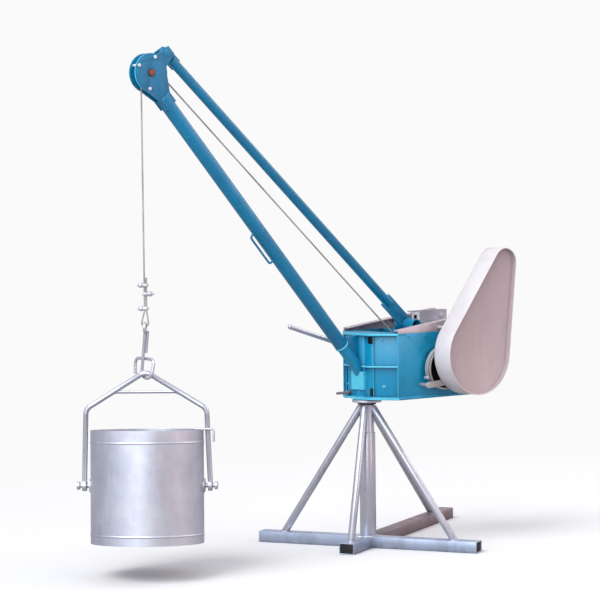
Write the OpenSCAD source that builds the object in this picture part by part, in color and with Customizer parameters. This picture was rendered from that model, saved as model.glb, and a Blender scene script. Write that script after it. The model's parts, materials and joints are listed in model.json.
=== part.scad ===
// Slewing davit hoist: a cross base with a braced post, a turning winch head,
// a tubular jib held by a stay, and a tipping bucket on a pigtail hook.
// Millimetres. +Z is up and the origin is on the floor under the slewing axis.
// The head is drawn in its own axes, +X along the jib and +Y to the belt guard,
// and is turned into place by head_yaw.

/* [Base] */
// Length of each side arm from the slewing axis
side_arm = 437; // [400:1:560]
// Length of the short front arm from the slewing axis
front_arm = 210; // [190:1:260]
// Length of the rear arm from the slewing axis
rear_arm = 825; // [740:1:950]
// Width of the arm tube
arm_w = 58; // [50:1:70]
// Height of the arm tube
arm_h = 41; // [35:1:50]
// Wall of the arm tube
arm_wall = 3; // [2:0.5:5]
// Diameter of the lower post tube
post_d = 60; // [56:1:70]
// Diameter of the upper post tube
post_upper_d = 53; // [48:1:54]
// Height of the shoulder between the two post tubes
post_step_z = 425; // [300:1:480]
// Height of the top of the post
post_top_z = 531; // [510:1:600]
// Diameter of the four brace tubes
brace_d = 27; // [22:1:32]
// Distance of the side brace feet from the slewing axis
side_brace_r = 340; // [280:1:380]
// Distance of the front brace foot from the slewing axis
front_brace_r = 165; // [140:1:180]
// Distance of the rear brace foot from the slewing axis
rear_brace_r = 656; // [560:1:700]

/* [Slewing seat] */
// Diameter of the silver seat disc
seat_d = 110; // [100:1:130]
// Thickness of the seat disc
seat_t = 9; // [6:1:14]
// Height of the dark collar under the seat disc
collar_h = 9; // [6:1:14]
// Thickness of the thrust washer on the seat disc
thrust_t = 5; // [3:1:8]
// Diameter of the journal that the head turns on
journal_d = 60; // [50:1:66]
// Outer diameter of the head sleeve
sleeve_d = 84; // [78:1:96]

/* [Head] */
// Turn of the head about the post, from +X
head_yaw = 242.5; // [0:0.5:360]
// Height of the head from floor plate to deck
head_h = 244; // [220:1:280]
// Half width of the head over its side plates
head_half = 159; // [150:1:180]
// Distance of the deck's front edge from the slewing axis
head_front = 50; // [46:1:70]
// Half width of the deck's front edge
nose_half = 74; // [60:1:90]
// Distance of the shoulder corners behind the slewing axis
shoulder_x = 18; // [10:1:30]
// Distance of the rear of the head from the slewing axis
head_rear = 400; // [390:1:440]
// Setback of the front panels behind the deck's edge
panel_set = 18; // [12:1:24]
// Thickness of the head's side and front plates
plate_t = 6; // [4:1:8]
// Thickness of the floor plate and the deck
floor_t = 8; // [6:1:10]
// Distance from the slewing axis back to the deck opening
deck_back = 60; // [50:1:90]

/* [Jib] */
// Angle of the jib above the horizontal
jib_pitch = 48.8; // [46:0.1:51]
// Distance in front of the slewing axis of a point on the jib's centre line
jib_x = 42; // [38:1:46]
// Height of that point above the head's floor plate underside
jib_rise = 114; // [105:1:125]
// Outer diameter of the jib tube
jib_d = 51; // [48:1:57]
// Wall of the jib tube
jib_wall = 2.8; // [2:0.1:4]
// Distance along the centre line to the tube's lower end
jib_start = 112; // [105:1:130]
// Length of the jib tube
jib_len = 1201; // [1150:1:1250]
// Diameter of the stay tube
stay_d = 34; // [30:1:38]
// Width of the stay's flattened ends
stay_eye_w = 44; // [38:1:50]
// Distance of the stay's foot behind the slewing axis
stay_foot_x = 205; // [200:1:212]
// Height of the stay's foot above the deck
stay_foot_rise = 18; // [14:1:24]

/* [Sheave block] */
// Distance along the jib from its upper end to the sheave axle
axle_reach = 100; // [92:1:112]
// Distance of the axle above the jib's centre line
axle_lift = 12; // [6:1:20]
// Radius of the cheek plates
cheek_r = 67; // [64:1:74]
// Thickness of the cheek plates
cheek_t = 5; // [4:1:6]
// Clear width between the cheek plates
cheek_gap = 28; // [26:1:34]
// Radius from the axle to the rope's centre on the sheave
sheave_rope_r = 30; // [28:1:34]
// Radius of the sheave's rim
sheave_r = 41; // [38:1:44]
// Radius of the sheave axle
axle_r = 8; // [6:0.5:10]
// Radius of the circle of spacers
spacer_pitch_r = 56; // [54:1:58]
// Radius of the spacers
spacer_r = 4.5; // [4:0.5:5]
// Rise of the stay's upper pin above the axle
ear_rise = 68; // [60:1:80]
// Setback of the stay's upper pin behind the axle
ear_back = 73; // [66:1:80]

/* [Winch] */
// Distance of the drum axis behind the slewing axis
drum_x = 218; // [212:1:222]
// Height of the drum axis above the head's underside
drum_rise = 108; // [104:1:114]
// Radius of the drum barrel
barrel_r = 31; // [29:1:34]
// Half length of the drum barrel between its flanges
barrel_half = 110; // [90:1:120]
// Radius of the drum flanges
flange_r = 66; // [60:1:70]
// Radius of the drum shaft
shaft_r = 14; // [12:1:16]
// Radius of the brake drum
brake_r = 78; // [72:1:82]
// Width of the brake drum's rim
brake_w = 24; // [20:1:24]
// Diameter of the hoist rope
rope_d = 6; // [5:0.5:7]

/* [Belt guard] */
// Distance from the side plate out to the belt guard
guard_gap = 46; // [44:1:56]
// Depth of the guard
guard_depth = 85; // [70:1:100]
// Radius of the guard's large end
guard_big_r = 150; // [142:1:156]
// Radius of the guard's small end
guard_small_r = 54; // [48:1:62]
// Distance of the large end's centre behind the slewing axis
guard_x = 305; // [300:1:310]
// Height of the large end's centre above the head's underside
guard_rise = 160; // [156:1:166]
// Setback of the small end's centre behind the large end's
guard_lean = 133; // [110:1:150]
// Rise of the small end's centre above the large end's
guard_top_rise = 336; // [300:1:360]
// Setback of the guard's face panel inside its rim
guard_recess = 20; // [10:1:26]
// Sheet thickness of the guard
guard_wall = 2; // [1.5:0.5:3]

/* [Motor frame] */
// Angle of the motor frame to the deck
frame_tilt = 7.2; // [5:0.1:9]
// Height of the frame rails at their front end
rail_front_h = 12; // [8:1:18]
// Distance of the rails' front end behind the slewing axis
rail_front_x = 22; // [20:1:30]
// Length of the frame rails
rail_len = 440; // [400:1:460]
// Height of the motor bracket
bracket_h = 42; // [36:1:48]
// Length of the motor bracket
bracket_len = 176; // [165:1:185]
// Distance of the bracket's front end behind the slewing axis
bracket_x = 236; // [234:1:240]
// Height of the bracket's foot above the deck
bracket_rise = 27; // [24:1:30]
// Distance of the bracket's face to the far side of the head's centre plane
bracket_y = 12; // [6:1:24]

/* [Control lever] */
// Distance of the lever's pivot behind the slewing axis
lever_x = 110; // [90:1:130]
// Height of the lever's pivot above the head's underside
lever_rise = 165; // [150:1:180]
// Length of the lever from pivot to tip
lever_len = 340; // [300:1:380]
// Angle of the lever above the horizontal
lever_pitch = 17.5; // [10:0.5:20]
// Diameter of the lever
lever_d = 18; // [14:1:20]

/* [Load] */
// Turn of the bucket's trunnion line from +X
load_yaw = 20; // [0:1:40]
// Height of the bail's crown above the floor
bail_top_z = 704; // [690:1:720]
// Diameter of the bail rod
bail_d = 18; // [16:1:20]
// Distance from the bucket's side out to the middle of the bail's legs
bail_clear = 23; // [21:1:30]
// Height of the bail's shoulders below its crown
shoulder_drop = 122; // [110:1:135]
// Height of the bail's tie bar below its crown
tie_drop = 64; // [58:1:70]
// Diameter of the tie bar
tie_d = 10; // [8:1:12]
// Height of the trunnions below the bail's crown
trunnion_drop = 388; // [380:1:400]
// Radius of the trunnion pins
trunnion_r = 8; // [7:0.5:10]
// Diameter of the hook rod
hook_d = 11; // [9:1:12]
// Height of the hook's ring above its bend
hook_len = 174; // [165:1:200]
// Height of the hook's coil above its bend
coil_h = 65; // [60:1:80]
// Length of the rope's returned tail
tail_len = 112; // [104:1:125]

/* [Bucket] */
// Outer radius of the bucket
bucket_r = 196; // [184:1:198]
// Height of the bucket
bucket_h = 390; // [360:1:410]
// Sheet thickness of the bucket
bucket_wall = 2.5; // [2:0.5:4]
// Height of the trunnions above the bucket's base
trunnion_h = 198; // [190:1:210]
// Backward tip of the bucket at rest
bucket_tip = 4.5; // [0:0.5:6]

/* [Hidden] */

$fn = 64;
fit = 0.05;         // radial clearance of a running fit
touch = 0.3;        // gap between curved faces that rest on each other
swell = 0.06;       // extra radius of a bend, which hides its seam to a straight

// Colours
blue = "#1f8fb4";
silver = "#b9bcc4";
guard_white = "#d8d4d6";
dark = "#2b2b2e";
steel = "#9a9ca0";
rope_grey = "#8d8d8a";

// Heights of the slewing stack
seat_z = post_top_z + collar_h;
seat_top_z = seat_z + seat_t;
head_z = seat_top_z + thrust_t;
floor_top_z = head_z + floor_t;
deck_z = head_z + head_h;
sleeve_top_z = deck_z - floor_t;
journal_top_z = sleeve_top_z - 4;

// Plan of the nose: outer edge of floor and deck, then the set-back panels
edge_run = [-(shoulder_x + head_front), head_half - nose_half];
edge_dir = edge_run / norm(edge_run);
edge_in = [-edge_dir[1], edge_dir[0]];
panel_x = head_front - panel_set;
side_in = head_half - plate_t;

function line_y(p, d, x) = p[1] + (x - p[0]) * d[1] / d[0];
function line_x(p, d, y) = p[0] + (y - p[1]) * d[0] / d[1];

slant_out = [head_front, nose_half] + panel_set * edge_in;
slant_in = slant_out + plate_t * edge_in;

// Jib axis, tube end and sheave axle in the head's own X and Z
jib_dir = [cos(jib_pitch), sin(jib_pitch)];
jib_up = [-sin(jib_pitch), cos(jib_pitch)];
jib_foot = [jib_x, head_z + jib_rise];
jib_end_s = jib_start + jib_len;
jib_end = jib_foot + jib_end_s * jib_dir;
axle = jib_end + axle_reach * jib_dir + axle_lift * jib_up;
spigot_d = jib_d - 2 * jib_wall - 0.6;
spigot_low_s = -22;
spigot_grip = 80;
tail_grip = 40;
cheek_y = cheek_gap / 2;
ear_pin = axle + [-ear_back, ear_rise];
stay_foot = [-stay_foot_x, deck_z + stay_foot_rise];
stay_pin_r = 7;
ear_r = 18;

// Winch and rope
drum = [-drum_x, head_z + drum_rise];
drum_rope_r = barrel_r + touch + rope_d / 2;
rope_r = rope_d / 2;
fall_x = axle[0] + sheave_rope_r;

// Unit normal of the outer tangent line that touches two circles on one side
function tangent_normal(a, ra, b, rb, side) =
    let (d = norm(b - a), e = (b - a) / d, k = (ra - rb) / d)
    k * e + side * sqrt(1 - k * k) * [-e[1], e[0]];

lead_n = tangent_normal(drum, drum_rope_r, axle, sheave_rope_r, 1);
lead_low = drum + drum_rope_r * lead_n;
lead_high = axle + sheave_rope_r * lead_n;
lead_angle = atan2(lead_n[1], lead_n[0]);

// Guard outline
guard_big = [-guard_x, head_z + guard_rise];
guard_small = guard_big + [-guard_lean, guard_top_rise];
guard_y = head_half + guard_gap;
guard_face_y = guard_y + guard_depth;
stud_r = 7;
stud_ring_r = guard_big_r - 16;
rear_n = tangent_normal(guard_big, guard_big_r, guard_small, guard_small_r, 1);
tab_part = 0.42;
tab_r = guard_big_r - tab_part * (guard_big_r - guard_small_r) - 1;
tab_at = guard_big + tab_part * (guard_small - guard_big) + tab_r * rear_n;

// Load: everything that hangs is drawn about the rope's vertical line
trunnion_z = bail_top_z - trunnion_drop;
bail_half = bucket_r + bail_clear;
hook_r = hook_d / 2;
bail_r = bail_d / 2;
hook_turn = 50;
hook_low = bail_top_z - bail_r - hook_r - 1.2;
eye_ring_r = 15.5;
hook_eye_z = hook_low + hook_len;
loop_low_z = hook_eye_z + eye_ring_r - hook_r - touch - rope_r;
eye_top_z = loop_low_z + 54;
tail_top_z = eye_top_z + tail_len + 6;
strand_x = rope_d + 0.5;
clip_z = eye_top_z * [1, 1, 1] + [6, tail_len / 2, tail_len - 26];

// ---------------------------------------------------------------- helpers

// Turns the head's own axes into the part's
module in_head() { rotate([0, 0, head_yaw]) children(); }

// Places the hanging load's own axes under the rope
module in_load() {
    rotate([0, 0, head_yaw]) translate([fall_x, 0, 0])
        rotate([0, 0, load_yaw - head_yaw]) children();
}

// Extrudes an X-Z outline from y to y + t
module plate_xz(y, t) {
    translate([0, y + t, 0]) rotate([90, 0, 0]) linear_extrude(t) children();
}

// Cylinder along +Y
module bar_y(x, y, z, len, r) {
    translate([x, y, z]) rotate([-90, 0, 0]) cylinder(h = len, r = r);
}

// Jib axes: local Z runs up the jib, local X points to its underside
module in_jib(s = 0) {
    translate([jib_foot[0], 0, jib_foot[1]]) rotate([0, 90 - jib_pitch, 0])
        translate([0, 0, s]) children();
}

// Straight round rod between two points
module strut(a, b, r) {
    d = b - a;
    translate(a) rotate([0, acos(d[2] / norm(d)), atan2(d[1], d[0])])
        cylinder(h = norm(d), r = r);
}

function unit(v) = v / norm(v);
function turn(p, i) = acos(min(1, unit(p[i] - p[i - 1]) * unit(p[i + 1] - p[i])));
function cut_back(p, i, bend) =
    (i <= 0 || i >= len(p) - 1) ? 0 : bend * tan(turn(p, i) / 2);

// Round rod bent to one radius at each inner point of a path. The bends are a
// hair fatter than the straights, which run a little way into them.
module bent_rod(p, r, bend) {
    lap = 0.5;
    for (i = [0 : len(p) - 2]) {
        d = unit(p[i + 1] - p[i]);
        a = i == 0 ? 0 : cut_back(p, i, bend) - lap;
        b = i == len(p) - 2 ? 0 : cut_back(p, i + 1, bend) - lap;
        strut(p[i] + a * d, p[i + 1] - b * d, r);
    }
    for (i = [1 : len(p) - 2]) {
        d1 = unit(p[i] - p[i - 1]);
        d2 = unit(p[i + 1] - p[i]);
        z = unit(cross(d1, d2));
        x = cross(d1, z);
        pole = acos(z[2]);
        way = atan2(z[1], z[0]);
        x0 = [cos(pole) * cos(way), cos(pole) * sin(way), -sin(pole)];
        y0 = [-sin(way), cos(way), 0];
        translate(p[i] + unit(d2 - d1) * bend / cos(turn(p, i) / 2))
            rotate([0, pole, way]) rotate([0, 0, atan2(x * y0, x * x0)])
                rotate_extrude(angle = turn(p, i))
                    translate([bend, 0]) circle(r = r + swell);
    }
}

// ------------------------------------------------------------------- base

module rect_tube(len) {
    difference() {
        translate([0, -arm_w / 2, 0]) cube([len, arm_w, arm_h]);
        translate([-1, -arm_w / 2 + arm_wall, arm_wall])
            cube([len + 2, arm_w - 2 * arm_wall, arm_h - 2 * arm_wall]);
    }
}

module cross_arm() {
    color(silver) translate([-side_arm, 0, 0]) rect_tube(2 * side_arm);
}

module front_arm_tube() {
    color(silver) rotate([0, 0, -90]) translate([arm_w / 2, 0, 0])
        rect_tube(front_arm - arm_w / 2);
}

module rear_arm_tube() {
    color(silver) rotate([0, 0, 90]) translate([arm_w / 2, 0, 0])
        rect_tube(rear_arm - arm_w / 2);
}

// Push-in plastic plugs, a little inside each open tube end
module arm_plugs() {
    plug_in = 3;
    plug_len = 14;
    color(dark) for (end = [[0, side_arm], [180, side_arm],
                            [-90, front_arm], [90, rear_arm]])
        rotate([0, 0, end[0]])
            translate([end[1] - plug_in - plug_len, -arm_w / 2 + arm_wall, arm_wall])
                cube([plug_len, arm_w - 2 * arm_wall, arm_h - 2 * arm_wall]);
}

module post() {
    wall = 4;
    color(silver) difference() {
        union() {
            translate([0, 0, arm_h])
                cylinder(h = post_step_z - arm_h, r = post_d / 2);
            translate([0, 0, post_step_z])
                cylinder(h = post_top_z - post_step_z, r = post_upper_d / 2);
        }
        translate([0, 0, arm_h - 1])
            cylinder(h = post_top_z, r = post_upper_d / 2 - wall);
    }
}

brace_top_z = post_top_z - 4;
brace_top_r = 20;

// Raking tube from a foot on an arm to the head of the post
module brace(foot_r) {
    run = foot_r - brace_top_r;
    rise = brace_top_z - arm_h;
    over = brace_d * 2;
    axis = unit([run, 0, -rise]);
    top = [brace_top_r, 0, brace_top_z];
    foot = [foot_r, 0, arm_h];
    difference() {
        strut(top - over * axis, foot + over * axis, brace_d / 2);
        translate([-foot_r, -foot_r, brace_top_z])
            cube([4 * foot_r, 2 * foot_r, 4 * over]);
        translate([-foot_r, -foot_r, arm_h - 4 * over])
            cube([4 * foot_r, 2 * foot_r, 4 * over]);
        translate([0, 0, arm_h - 1]) cylinder(h = post_step_z - arm_h + 1, r = post_d / 2);
        cylinder(h = 2 * post_top_z, r = post_upper_d / 2);
    }
}

module brace_left() { color(silver) rotate([0, 0, 180]) brace(side_brace_r); }
module brace_right() { color(silver) brace(side_brace_r); }
module brace_front() { color(silver) rotate([0, 0, -90]) brace(front_brace_r); }
module brace_rear() { color(silver) rotate([0, 0, 90]) brace(rear_brace_r); }

// Collar, seat disc and the journal that the head turns on
module slew_seat() {
    color(silver) {
        translate([0, 0, post_top_z]) cylinder(h = collar_h, r = journal_d / 2 + 3);
        translate([0, 0, seat_z]) cylinder(h = seat_t, r = seat_d / 2);
        translate([0, 0, seat_top_z])
            cylinder(h = journal_top_z - seat_top_z, r = journal_d / 2);
    }
}

// ------------------------------------------------------------------- head

// Plan of the floor plate or deck, back to x = -back
module nose_plan(back, half) {
    polygon([[head_front, -nose_half], [head_front, nose_half],
             [-shoulder_x, half], [-back, half], [-back, -half],
             [-shoulder_x, -half]]);
}

module head_floor() {
    lip = 6;
    color(blue) in_head() {
        difference() {
            translate([0, 0, head_z]) linear_extrude(floor_t)
                nose_plan(head_rear, head_half + lip);
            translate([0, 0, head_z - 1]) cylinder(h = floor_t + 2, r = sleeve_d / 2);
        }
        translate([0, 0, seat_top_z]) difference() {
            cylinder(h = thrust_t, r = seat_d / 2 - 8);
            translate([0, 0, -1]) cylinder(h = thrust_t + 2, r = sleeve_d / 2);
        }
    }
}

module head_deck() {
    color(blue) in_head() translate([0, 0, sleeve_top_z]) linear_extrude(floor_t)
        nose_plan(deck_back, head_half);
}

module head_sleeve() {
    color(blue) difference() {
        translate([0, 0, seat_top_z])
            cylinder(h = sleeve_top_z - seat_top_z, r = sleeve_d / 2);
        translate([0, 0, seat_top_z - 1])
            cylinder(h = head_h, r = journal_d / 2 + fit);
    }
}

// Front panels each side of the sleeve and the slanting panels beside them
module nose_panels() {
    top_h = sleeve_top_z - floor_top_z;
    corner_y = line_y(slant_out, edge_dir, panel_x);
    inner_x = panel_x - plate_t;
    color(blue) in_head() for (side = [-1, 1]) scale([1, side, 1])
        translate([0, 0, floor_top_z]) difference() {
            linear_extrude(top_h)
                polygon([[panel_x, 0], [panel_x, corner_y],
                         [line_x(slant_out, edge_dir, side_in), side_in],
                         [line_x(slant_in, edge_dir, side_in), side_in],
                         [inner_x, line_y(slant_in, edge_dir, inner_x)],
                         [inner_x, 0]]);
            translate([0, 0, -1]) cylinder(h = top_h + 2, r = sleeve_d / 2);
        }
}

rib_z = head_z + head_h * 0.49;
rib_t = 6;

// Shelf stiffeners in front of the panels, level with the deck's edge
module nose_ribs() {
    start_y = jib_d / 2 + 4;
    color(blue) in_head() for (side = [-1, 1]) scale([1, side, 1])
        translate([0, 0, rib_z]) difference() {
            linear_extrude(rib_t)
            polygon([[panel_x, start_y], [head_front, start_y],
                     [head_front, nose_half], [-shoulder_x, head_half],
                     [-shoulder_x, side_in],
                     [line_x(slant_out, edge_dir, side_in), side_in],
                     [panel_x, line_y(slant_out, edge_dir, panel_x)]]);
            translate([0, 0, -1]) cylinder(h = rib_t + 2, r = sleeve_d / 2);
        }
}

// Side plate with clearance holes for the drum shaft
module side_plate(y) {
    difference() {
        plate_xz(y, plate_t)
            polygon([[-shoulder_x, floor_top_z], [-shoulder_x, sleeve_top_z],
                     [-deck_back, sleeve_top_z], [-deck_back, deck_z],
                     [-head_rear, deck_z], [-head_rear, floor_top_z]]);
        bar_y(drum[0], y - 1, drum[1], plate_t + 2, shaft_r + 8);
    }
}

module side_plate_near() { color(blue) in_head() side_plate(side_in); }
module side_plate_far() { color(blue) in_head() side_plate(-head_half); }

module rear_plate() {
    color(blue) in_head()
        translate([-head_rear, -side_in, floor_top_z])
            cube([plate_t, 2 * side_in, deck_z - floor_top_z - 60]);
}

// Screw through the far front panel that stops the head from turning
module slew_lock_screw() {
    y = -58;
    nut_len = 18;
    screw_len = 64;
    color(dark) in_head() translate([panel_x, y, floor_top_z + 12]) rotate([0, 90, 0]) {
        cylinder(h = nut_len, r = 9, $fn = 6);
        cylinder(h = screw_len, r = 5);
    }
}

// -------------------------------------------------------------------- jib

module spigot_solid(extra = 0) {
    in_jib(spigot_low_s - extra)
        cylinder(h = jib_start + spigot_grip - spigot_low_s + 2 * extra, r = spigot_d / 2);
}

module jib_spigot() {
    color(blue) in_head() difference() {
        spigot_solid();
        in_jib(spigot_low_s - 1) cylinder(h = jib_len, r = spigot_d / 2 - 4);
        cylinder(h = 2 * deck_z, r = sleeve_d / 2 + touch);
    }
}

// Notched block that carries the spigot's foot on the sleeve
module jib_saddle() {
    half = 34;
    low_z = head_z + 36;
    high_z = low_z + 66;
    front_x = sleeve_d / 2 + 20;
    color(blue) in_head() difference() {
        translate([panel_x, -half, low_z]) cube([front_x - panel_x, 2 * half, high_z - low_z]);
        translate([0, 0, low_z - 1]) cylinder(h = high_z - low_z + 2, r = sleeve_d / 2);
        spigot_solid(60);
    }
}

// Upright web between the sleeve and the spigot
module jib_gusset() {
    t = 12;
    low_z = jib_foot[1] + 40;
    reach = 62;
    color(blue) in_head() difference() {
        translate([sleeve_d / 2 - 4, -t / 2, low_z])
            cube([reach, t, sleeve_top_z - low_z]);
        translate([0, 0, low_z - 1]) cylinder(h = head_h, r = sleeve_d / 2);
        in_jib(-60) cylinder(h = 400, r = spigot_d / 2);
        in_jib(-60) translate([0, -t, 0]) cube([400, 2 * t, 400]);
        in_jib(jib_start - 2) cylinder(h = 200, r = jib_d / 2);
    }
}

module cheek_slots() {
    for (y = [-cheek_y - cheek_t, cheek_y])
        in_jib(jib_end_s - tail_grip)
            translate([-jib_d, y, 0]) cube([2 * jib_d, cheek_t, tail_grip + 1]);
}

module jib_tube() {
    color(blue) in_head() difference() {
        in_jib(jib_start) cylinder(h = jib_len, r = jib_d / 2);
        in_jib(jib_start - 1) cylinder(h = jib_len + 2, r = jib_d / 2 - jib_wall);
        cheek_slots();
    }
}

// Carrying handle of bent rod on the jib's underside
module jib_handle() {
    foot_s = 565;
    grip_len = 130;
    lift = 17;
    rod_r = 4;
    low = jib_d / 2;
    color(blue) in_head() in_jib(foot_s) difference() {
        bent_rod([[low - 2, 0, 0], [low + lift, 0, 0],
                  [low + lift, 0, grip_len], [low - 2, 0, grip_len]], rod_r, 9);
        translate([0, 0, -20]) cylinder(h = grip_len + 40, r = jib_d / 2);
    }
}

// ----------------------------------------------------------- sheave block

// Plate with two round ends and flanks a hair outside their common tangents
module tangent_plate(y, t, a, ra, b, rb) {
    n1 = tangent_normal(a, ra, b, rb, 1);
    n2 = tangent_normal(a, ra, b, rb, -1);
    hair = 0.1;
    bar_y(a[0], y, a[1], t, ra);
    bar_y(b[0], y, b[1], t, rb);
    plate_xz(y, t)
        polygon([a + (ra + hair) * n1, b + (rb + hair) * n1,
                 b + (rb + hair) * n2, a + (ra + hair) * n2]);
}

spacer_angles = [26, 278, 107];

// Round plate with a tail slotted into the jib and an ear for the stay's pin
module cheek(y) {
    tail = jib_end - tail_grip * jib_dir;
    half = jib_d / 2 + 1;
    waist = cheek_r * 0.93;
    back = cheek_r * 0.33 * jib_dir;
    ear_vec = (ear_pin - axle) / norm(ear_pin - axle);
    ear_side = [-ear_vec[1], ear_vec[0]];
    ear_top = ear_pin + ear_r * ear_vec;
    difference() {
        union() {
            bar_y(axle[0], y, axle[1], cheek_t, cheek_r);
            plate_xz(y, cheek_t)
                polygon([axle - cheek_r * 0.6 * ear_side, ear_top - ear_r * ear_side,
                         ear_top + ear_r * ear_side, axle + cheek_r * 0.6 * ear_side]);
            plate_xz(y, cheek_t)
                polygon([tail - half * jib_up, jib_end - half * jib_up,
                         axle - waist * jib_up - back, axle + waist * jib_up - back,
                         jib_end + half * jib_up, tail + half * jib_up]);
        }
        bar_y(axle[0], y - 1, axle[1], cheek_t + 2, axle_r + fit);
        bar_y(ear_pin[0], y - 1, ear_pin[1], cheek_t + 2, stay_pin_r + fit);
        for (a = spacer_angles)
            bar_y(axle[0] + spacer_pitch_r * cos(a), y - 1,
                  axle[1] + spacer_pitch_r * sin(a), cheek_t + 2, spacer_r);
    }
}

module cheek_near() { color(blue) in_head() cheek(cheek_y); }
module cheek_far() { color(blue) in_head() cheek(-cheek_y - cheek_t); }

// Three bright spacer bolts that tie the cheeks
module cheek_spacers() {
    over = 4;
    color("white") in_head() for (a = spacer_angles)
        translate([axle[0] + spacer_pitch_r * cos(a), 0,
                   axle[1] + spacer_pitch_r * sin(a)]) {
            bar_y(0, -cheek_y - cheek_t - over, 0,
                  cheek_gap + 2 * cheek_t + 2 * over, spacer_r);
            for (y = [-cheek_y - cheek_t - over, cheek_y + cheek_t])
                bar_y(0, y, 0, over, spacer_r + 1.5);
        }
}

// Headed pin across the cheeks
module headed_pin(c, r, half, head_r, head_t) {
    bar_y(c[0], -half - head_t, c[1], 2 * (half + head_t), r);
    for (y = [-half - head_t, half]) bar_y(c[0], y, c[1], head_t, head_r);
}

module sheave_axle() {
    color("#a8503f") in_head()
        headed_pin(axle, axle_r, cheek_y + cheek_t, axle_r + 3, 4);
}

// Grooved wheel that the rope runs over
module sheave() {
    half = cheek_gap / 2 - 5.5;
    root = sheave_rope_r - rope_r - touch;
    web = 3;
    hub_r = axle_r + 8;
    lip = 1.5;
    color(steel) in_head() translate([axle[0], 0, axle[1]]) rotate([-90, 0, 0])
        rotate_extrude()
            polygon([[axle_r + fit, -half], [hub_r, -half], [hub_r, -web],
                     [root - 6, -web], [root - 4, -half], [sheave_r, -half],
                     [sheave_r, -half + lip], [root, -rope_r * 0.8],
                     [root, rope_r * 0.8], [sheave_r, half - lip],
                     [sheave_r, half], [root - 4, half], [root - 6, web],
                     [hub_r, web], [hub_r, half], [axle_r + fit, half]]);
}

// ------------------------------------------------------------------- stay

stay_vec = ear_pin - stay_foot;
stay_len = norm(stay_vec);
stay_angle = atan2(stay_vec[1], stay_vec[0]);
stay_flat = 60;
stay_flat_t = 9;
stay_low_flat = 150;
stay_low_w = stay_eye_w + 8;
anchor_r = 24;

// Tube with flattened ends: the upper drilled, the lower cut to the cross tube
module stay() {
    grip = 26;
    color(blue) in_head() difference() {
        translate([stay_foot[0], 0, stay_foot[1]]) rotate([0, -stay_angle, 0]) {
            translate([stay_low_flat - grip, 0, 0]) rotate([0, 90, 0])
                cylinder(h = stay_len - stay_low_flat - stay_flat + 2 * grip, r = stay_d / 2);
            bar_y(stay_len, -stay_flat_t / 2, 0, stay_flat_t, stay_eye_w / 2);
            translate([stay_len - stay_flat, -stay_flat_t / 2, -stay_eye_w / 2])
                cube([stay_flat, stay_flat_t, stay_eye_w]);
            translate([0, -stay_flat_t / 2, -stay_low_w / 2])
                cube([stay_low_flat, stay_flat_t, stay_low_w]);
        }
        bar_y(ear_pin[0], -stay_d, ear_pin[1], 2 * stay_d, stay_pin_r + fit);
        bar_y(stay_foot[0], -stay_d, stay_foot[1], 2 * stay_d, anchor_r);
    }
}

module stay_pin() {
    color(steel) in_head()
        headed_pin(ear_pin, stay_pin_r, cheek_y + cheek_t, stay_pin_r + 4, 5);
}

// Short cross tube under the stay's foot, on a web between the side plates
module stay_anchor() {
    half = 50;
    web_t = 8;
    web_low = stay_foot[1] - anchor_r - 40;
    color(blue) in_head() difference() {
        union() {
            bar_y(stay_foot[0], -half, stay_foot[1], 2 * half, anchor_r);
            translate([stay_foot[0] - web_t / 2, -side_in, web_low])
                cube([web_t, 2 * side_in, 46]);
        }
        bar_y(stay_foot[0], -half - 1, stay_foot[1], 2 * half + 2, anchor_r - 4);
    }
}

// ------------------------------------------------------------ motor frame

function rail_top(x) = deck_z + rail_front_h + (-rail_front_x - x) * tan(frame_tilt);

// Tapered side member with an inward top lip
module frame_rail(side) {
    lip_w = 24;
    lip_t = 4;
    back_x = -rail_front_x - rail_len;
    front_x = -rail_front_x;
    scale([1, side, 1]) {
        plate_xz(side_in, plate_t)
            polygon([[front_x, deck_z], [front_x, rail_top(front_x)],
                     [back_x, rail_top(back_x)], [-head_rear, deck_z]]);
        plate_xz(side_in - lip_w, lip_w)
            polygon([[front_x, rail_top(front_x) - lip_t], [front_x, rail_top(front_x)],
                     [back_x, rail_top(back_x)], [back_x, rail_top(back_x) - lip_t]]);
    }
}

module frame_rail_near() { color(silver) in_head() frame_rail(1); }
module frame_rail_far() { color(silver) in_head() frame_rail(-1); }

// Level channel for the motor, on two bars between the rails
module motor_bracket() {
    w = 26;
    t = 4;
    slot_w = 15;
    low = deck_z + bracket_rise;
    bar_w = 24;
    bar_h = 8;
    back = -bracket_x - bracket_len;
    color(silver) in_head() {
        translate([0, -bracket_y - w, low]) difference() {
            translate([back, 0, 0]) cube([bracket_len, w, bracket_h]);
            translate([back - 1, -1, t]) cube([bracket_len + 2, w - t + 1, bracket_h - 2 * t]);
            for (x = [-bracket_x - 18, back + 30])
                translate([x - slot_w / 2, -1, bracket_h / 2 - slot_w / 2 - 2])
                    cube([slot_w, w + 2, slot_w]);
        }
        for (x = [-bracket_x - 48, back + 12])
            translate([x, -side_in, low - bar_h]) cube([bar_w, 2 * side_in, bar_h]);
    }
}

// ------------------------------------------------------------- belt guard

module guard_plate(y, t, inset = 0) {
    tangent_plate(y, t, guard_big, guard_big_r - inset, guard_small, guard_small_r - inset);
}

// Rim and set-back face of the teardrop guard
module belt_guard() {
    color(guard_white) in_head() {
        difference() {
            guard_plate(guard_y + guard_wall, guard_depth - guard_wall);
            guard_plate(guard_y, guard_depth + 1, guard_wall);
        }
        guard_plate(guard_face_y - guard_recess, guard_wall, guard_wall);
        plate_xz(guard_y + guard_depth / 2 - 10, 20)
            polygon([tab_at, tab_at + [-15, -35], tab_at + [8, -35]]);
    }
}

module guard_back() {
    color(silver) in_head() guard_plate(guard_y, guard_wall);
}

// Angle on the big end's ring of a stud, from straight ahead
stud_angles = [48, 132, 228];

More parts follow.
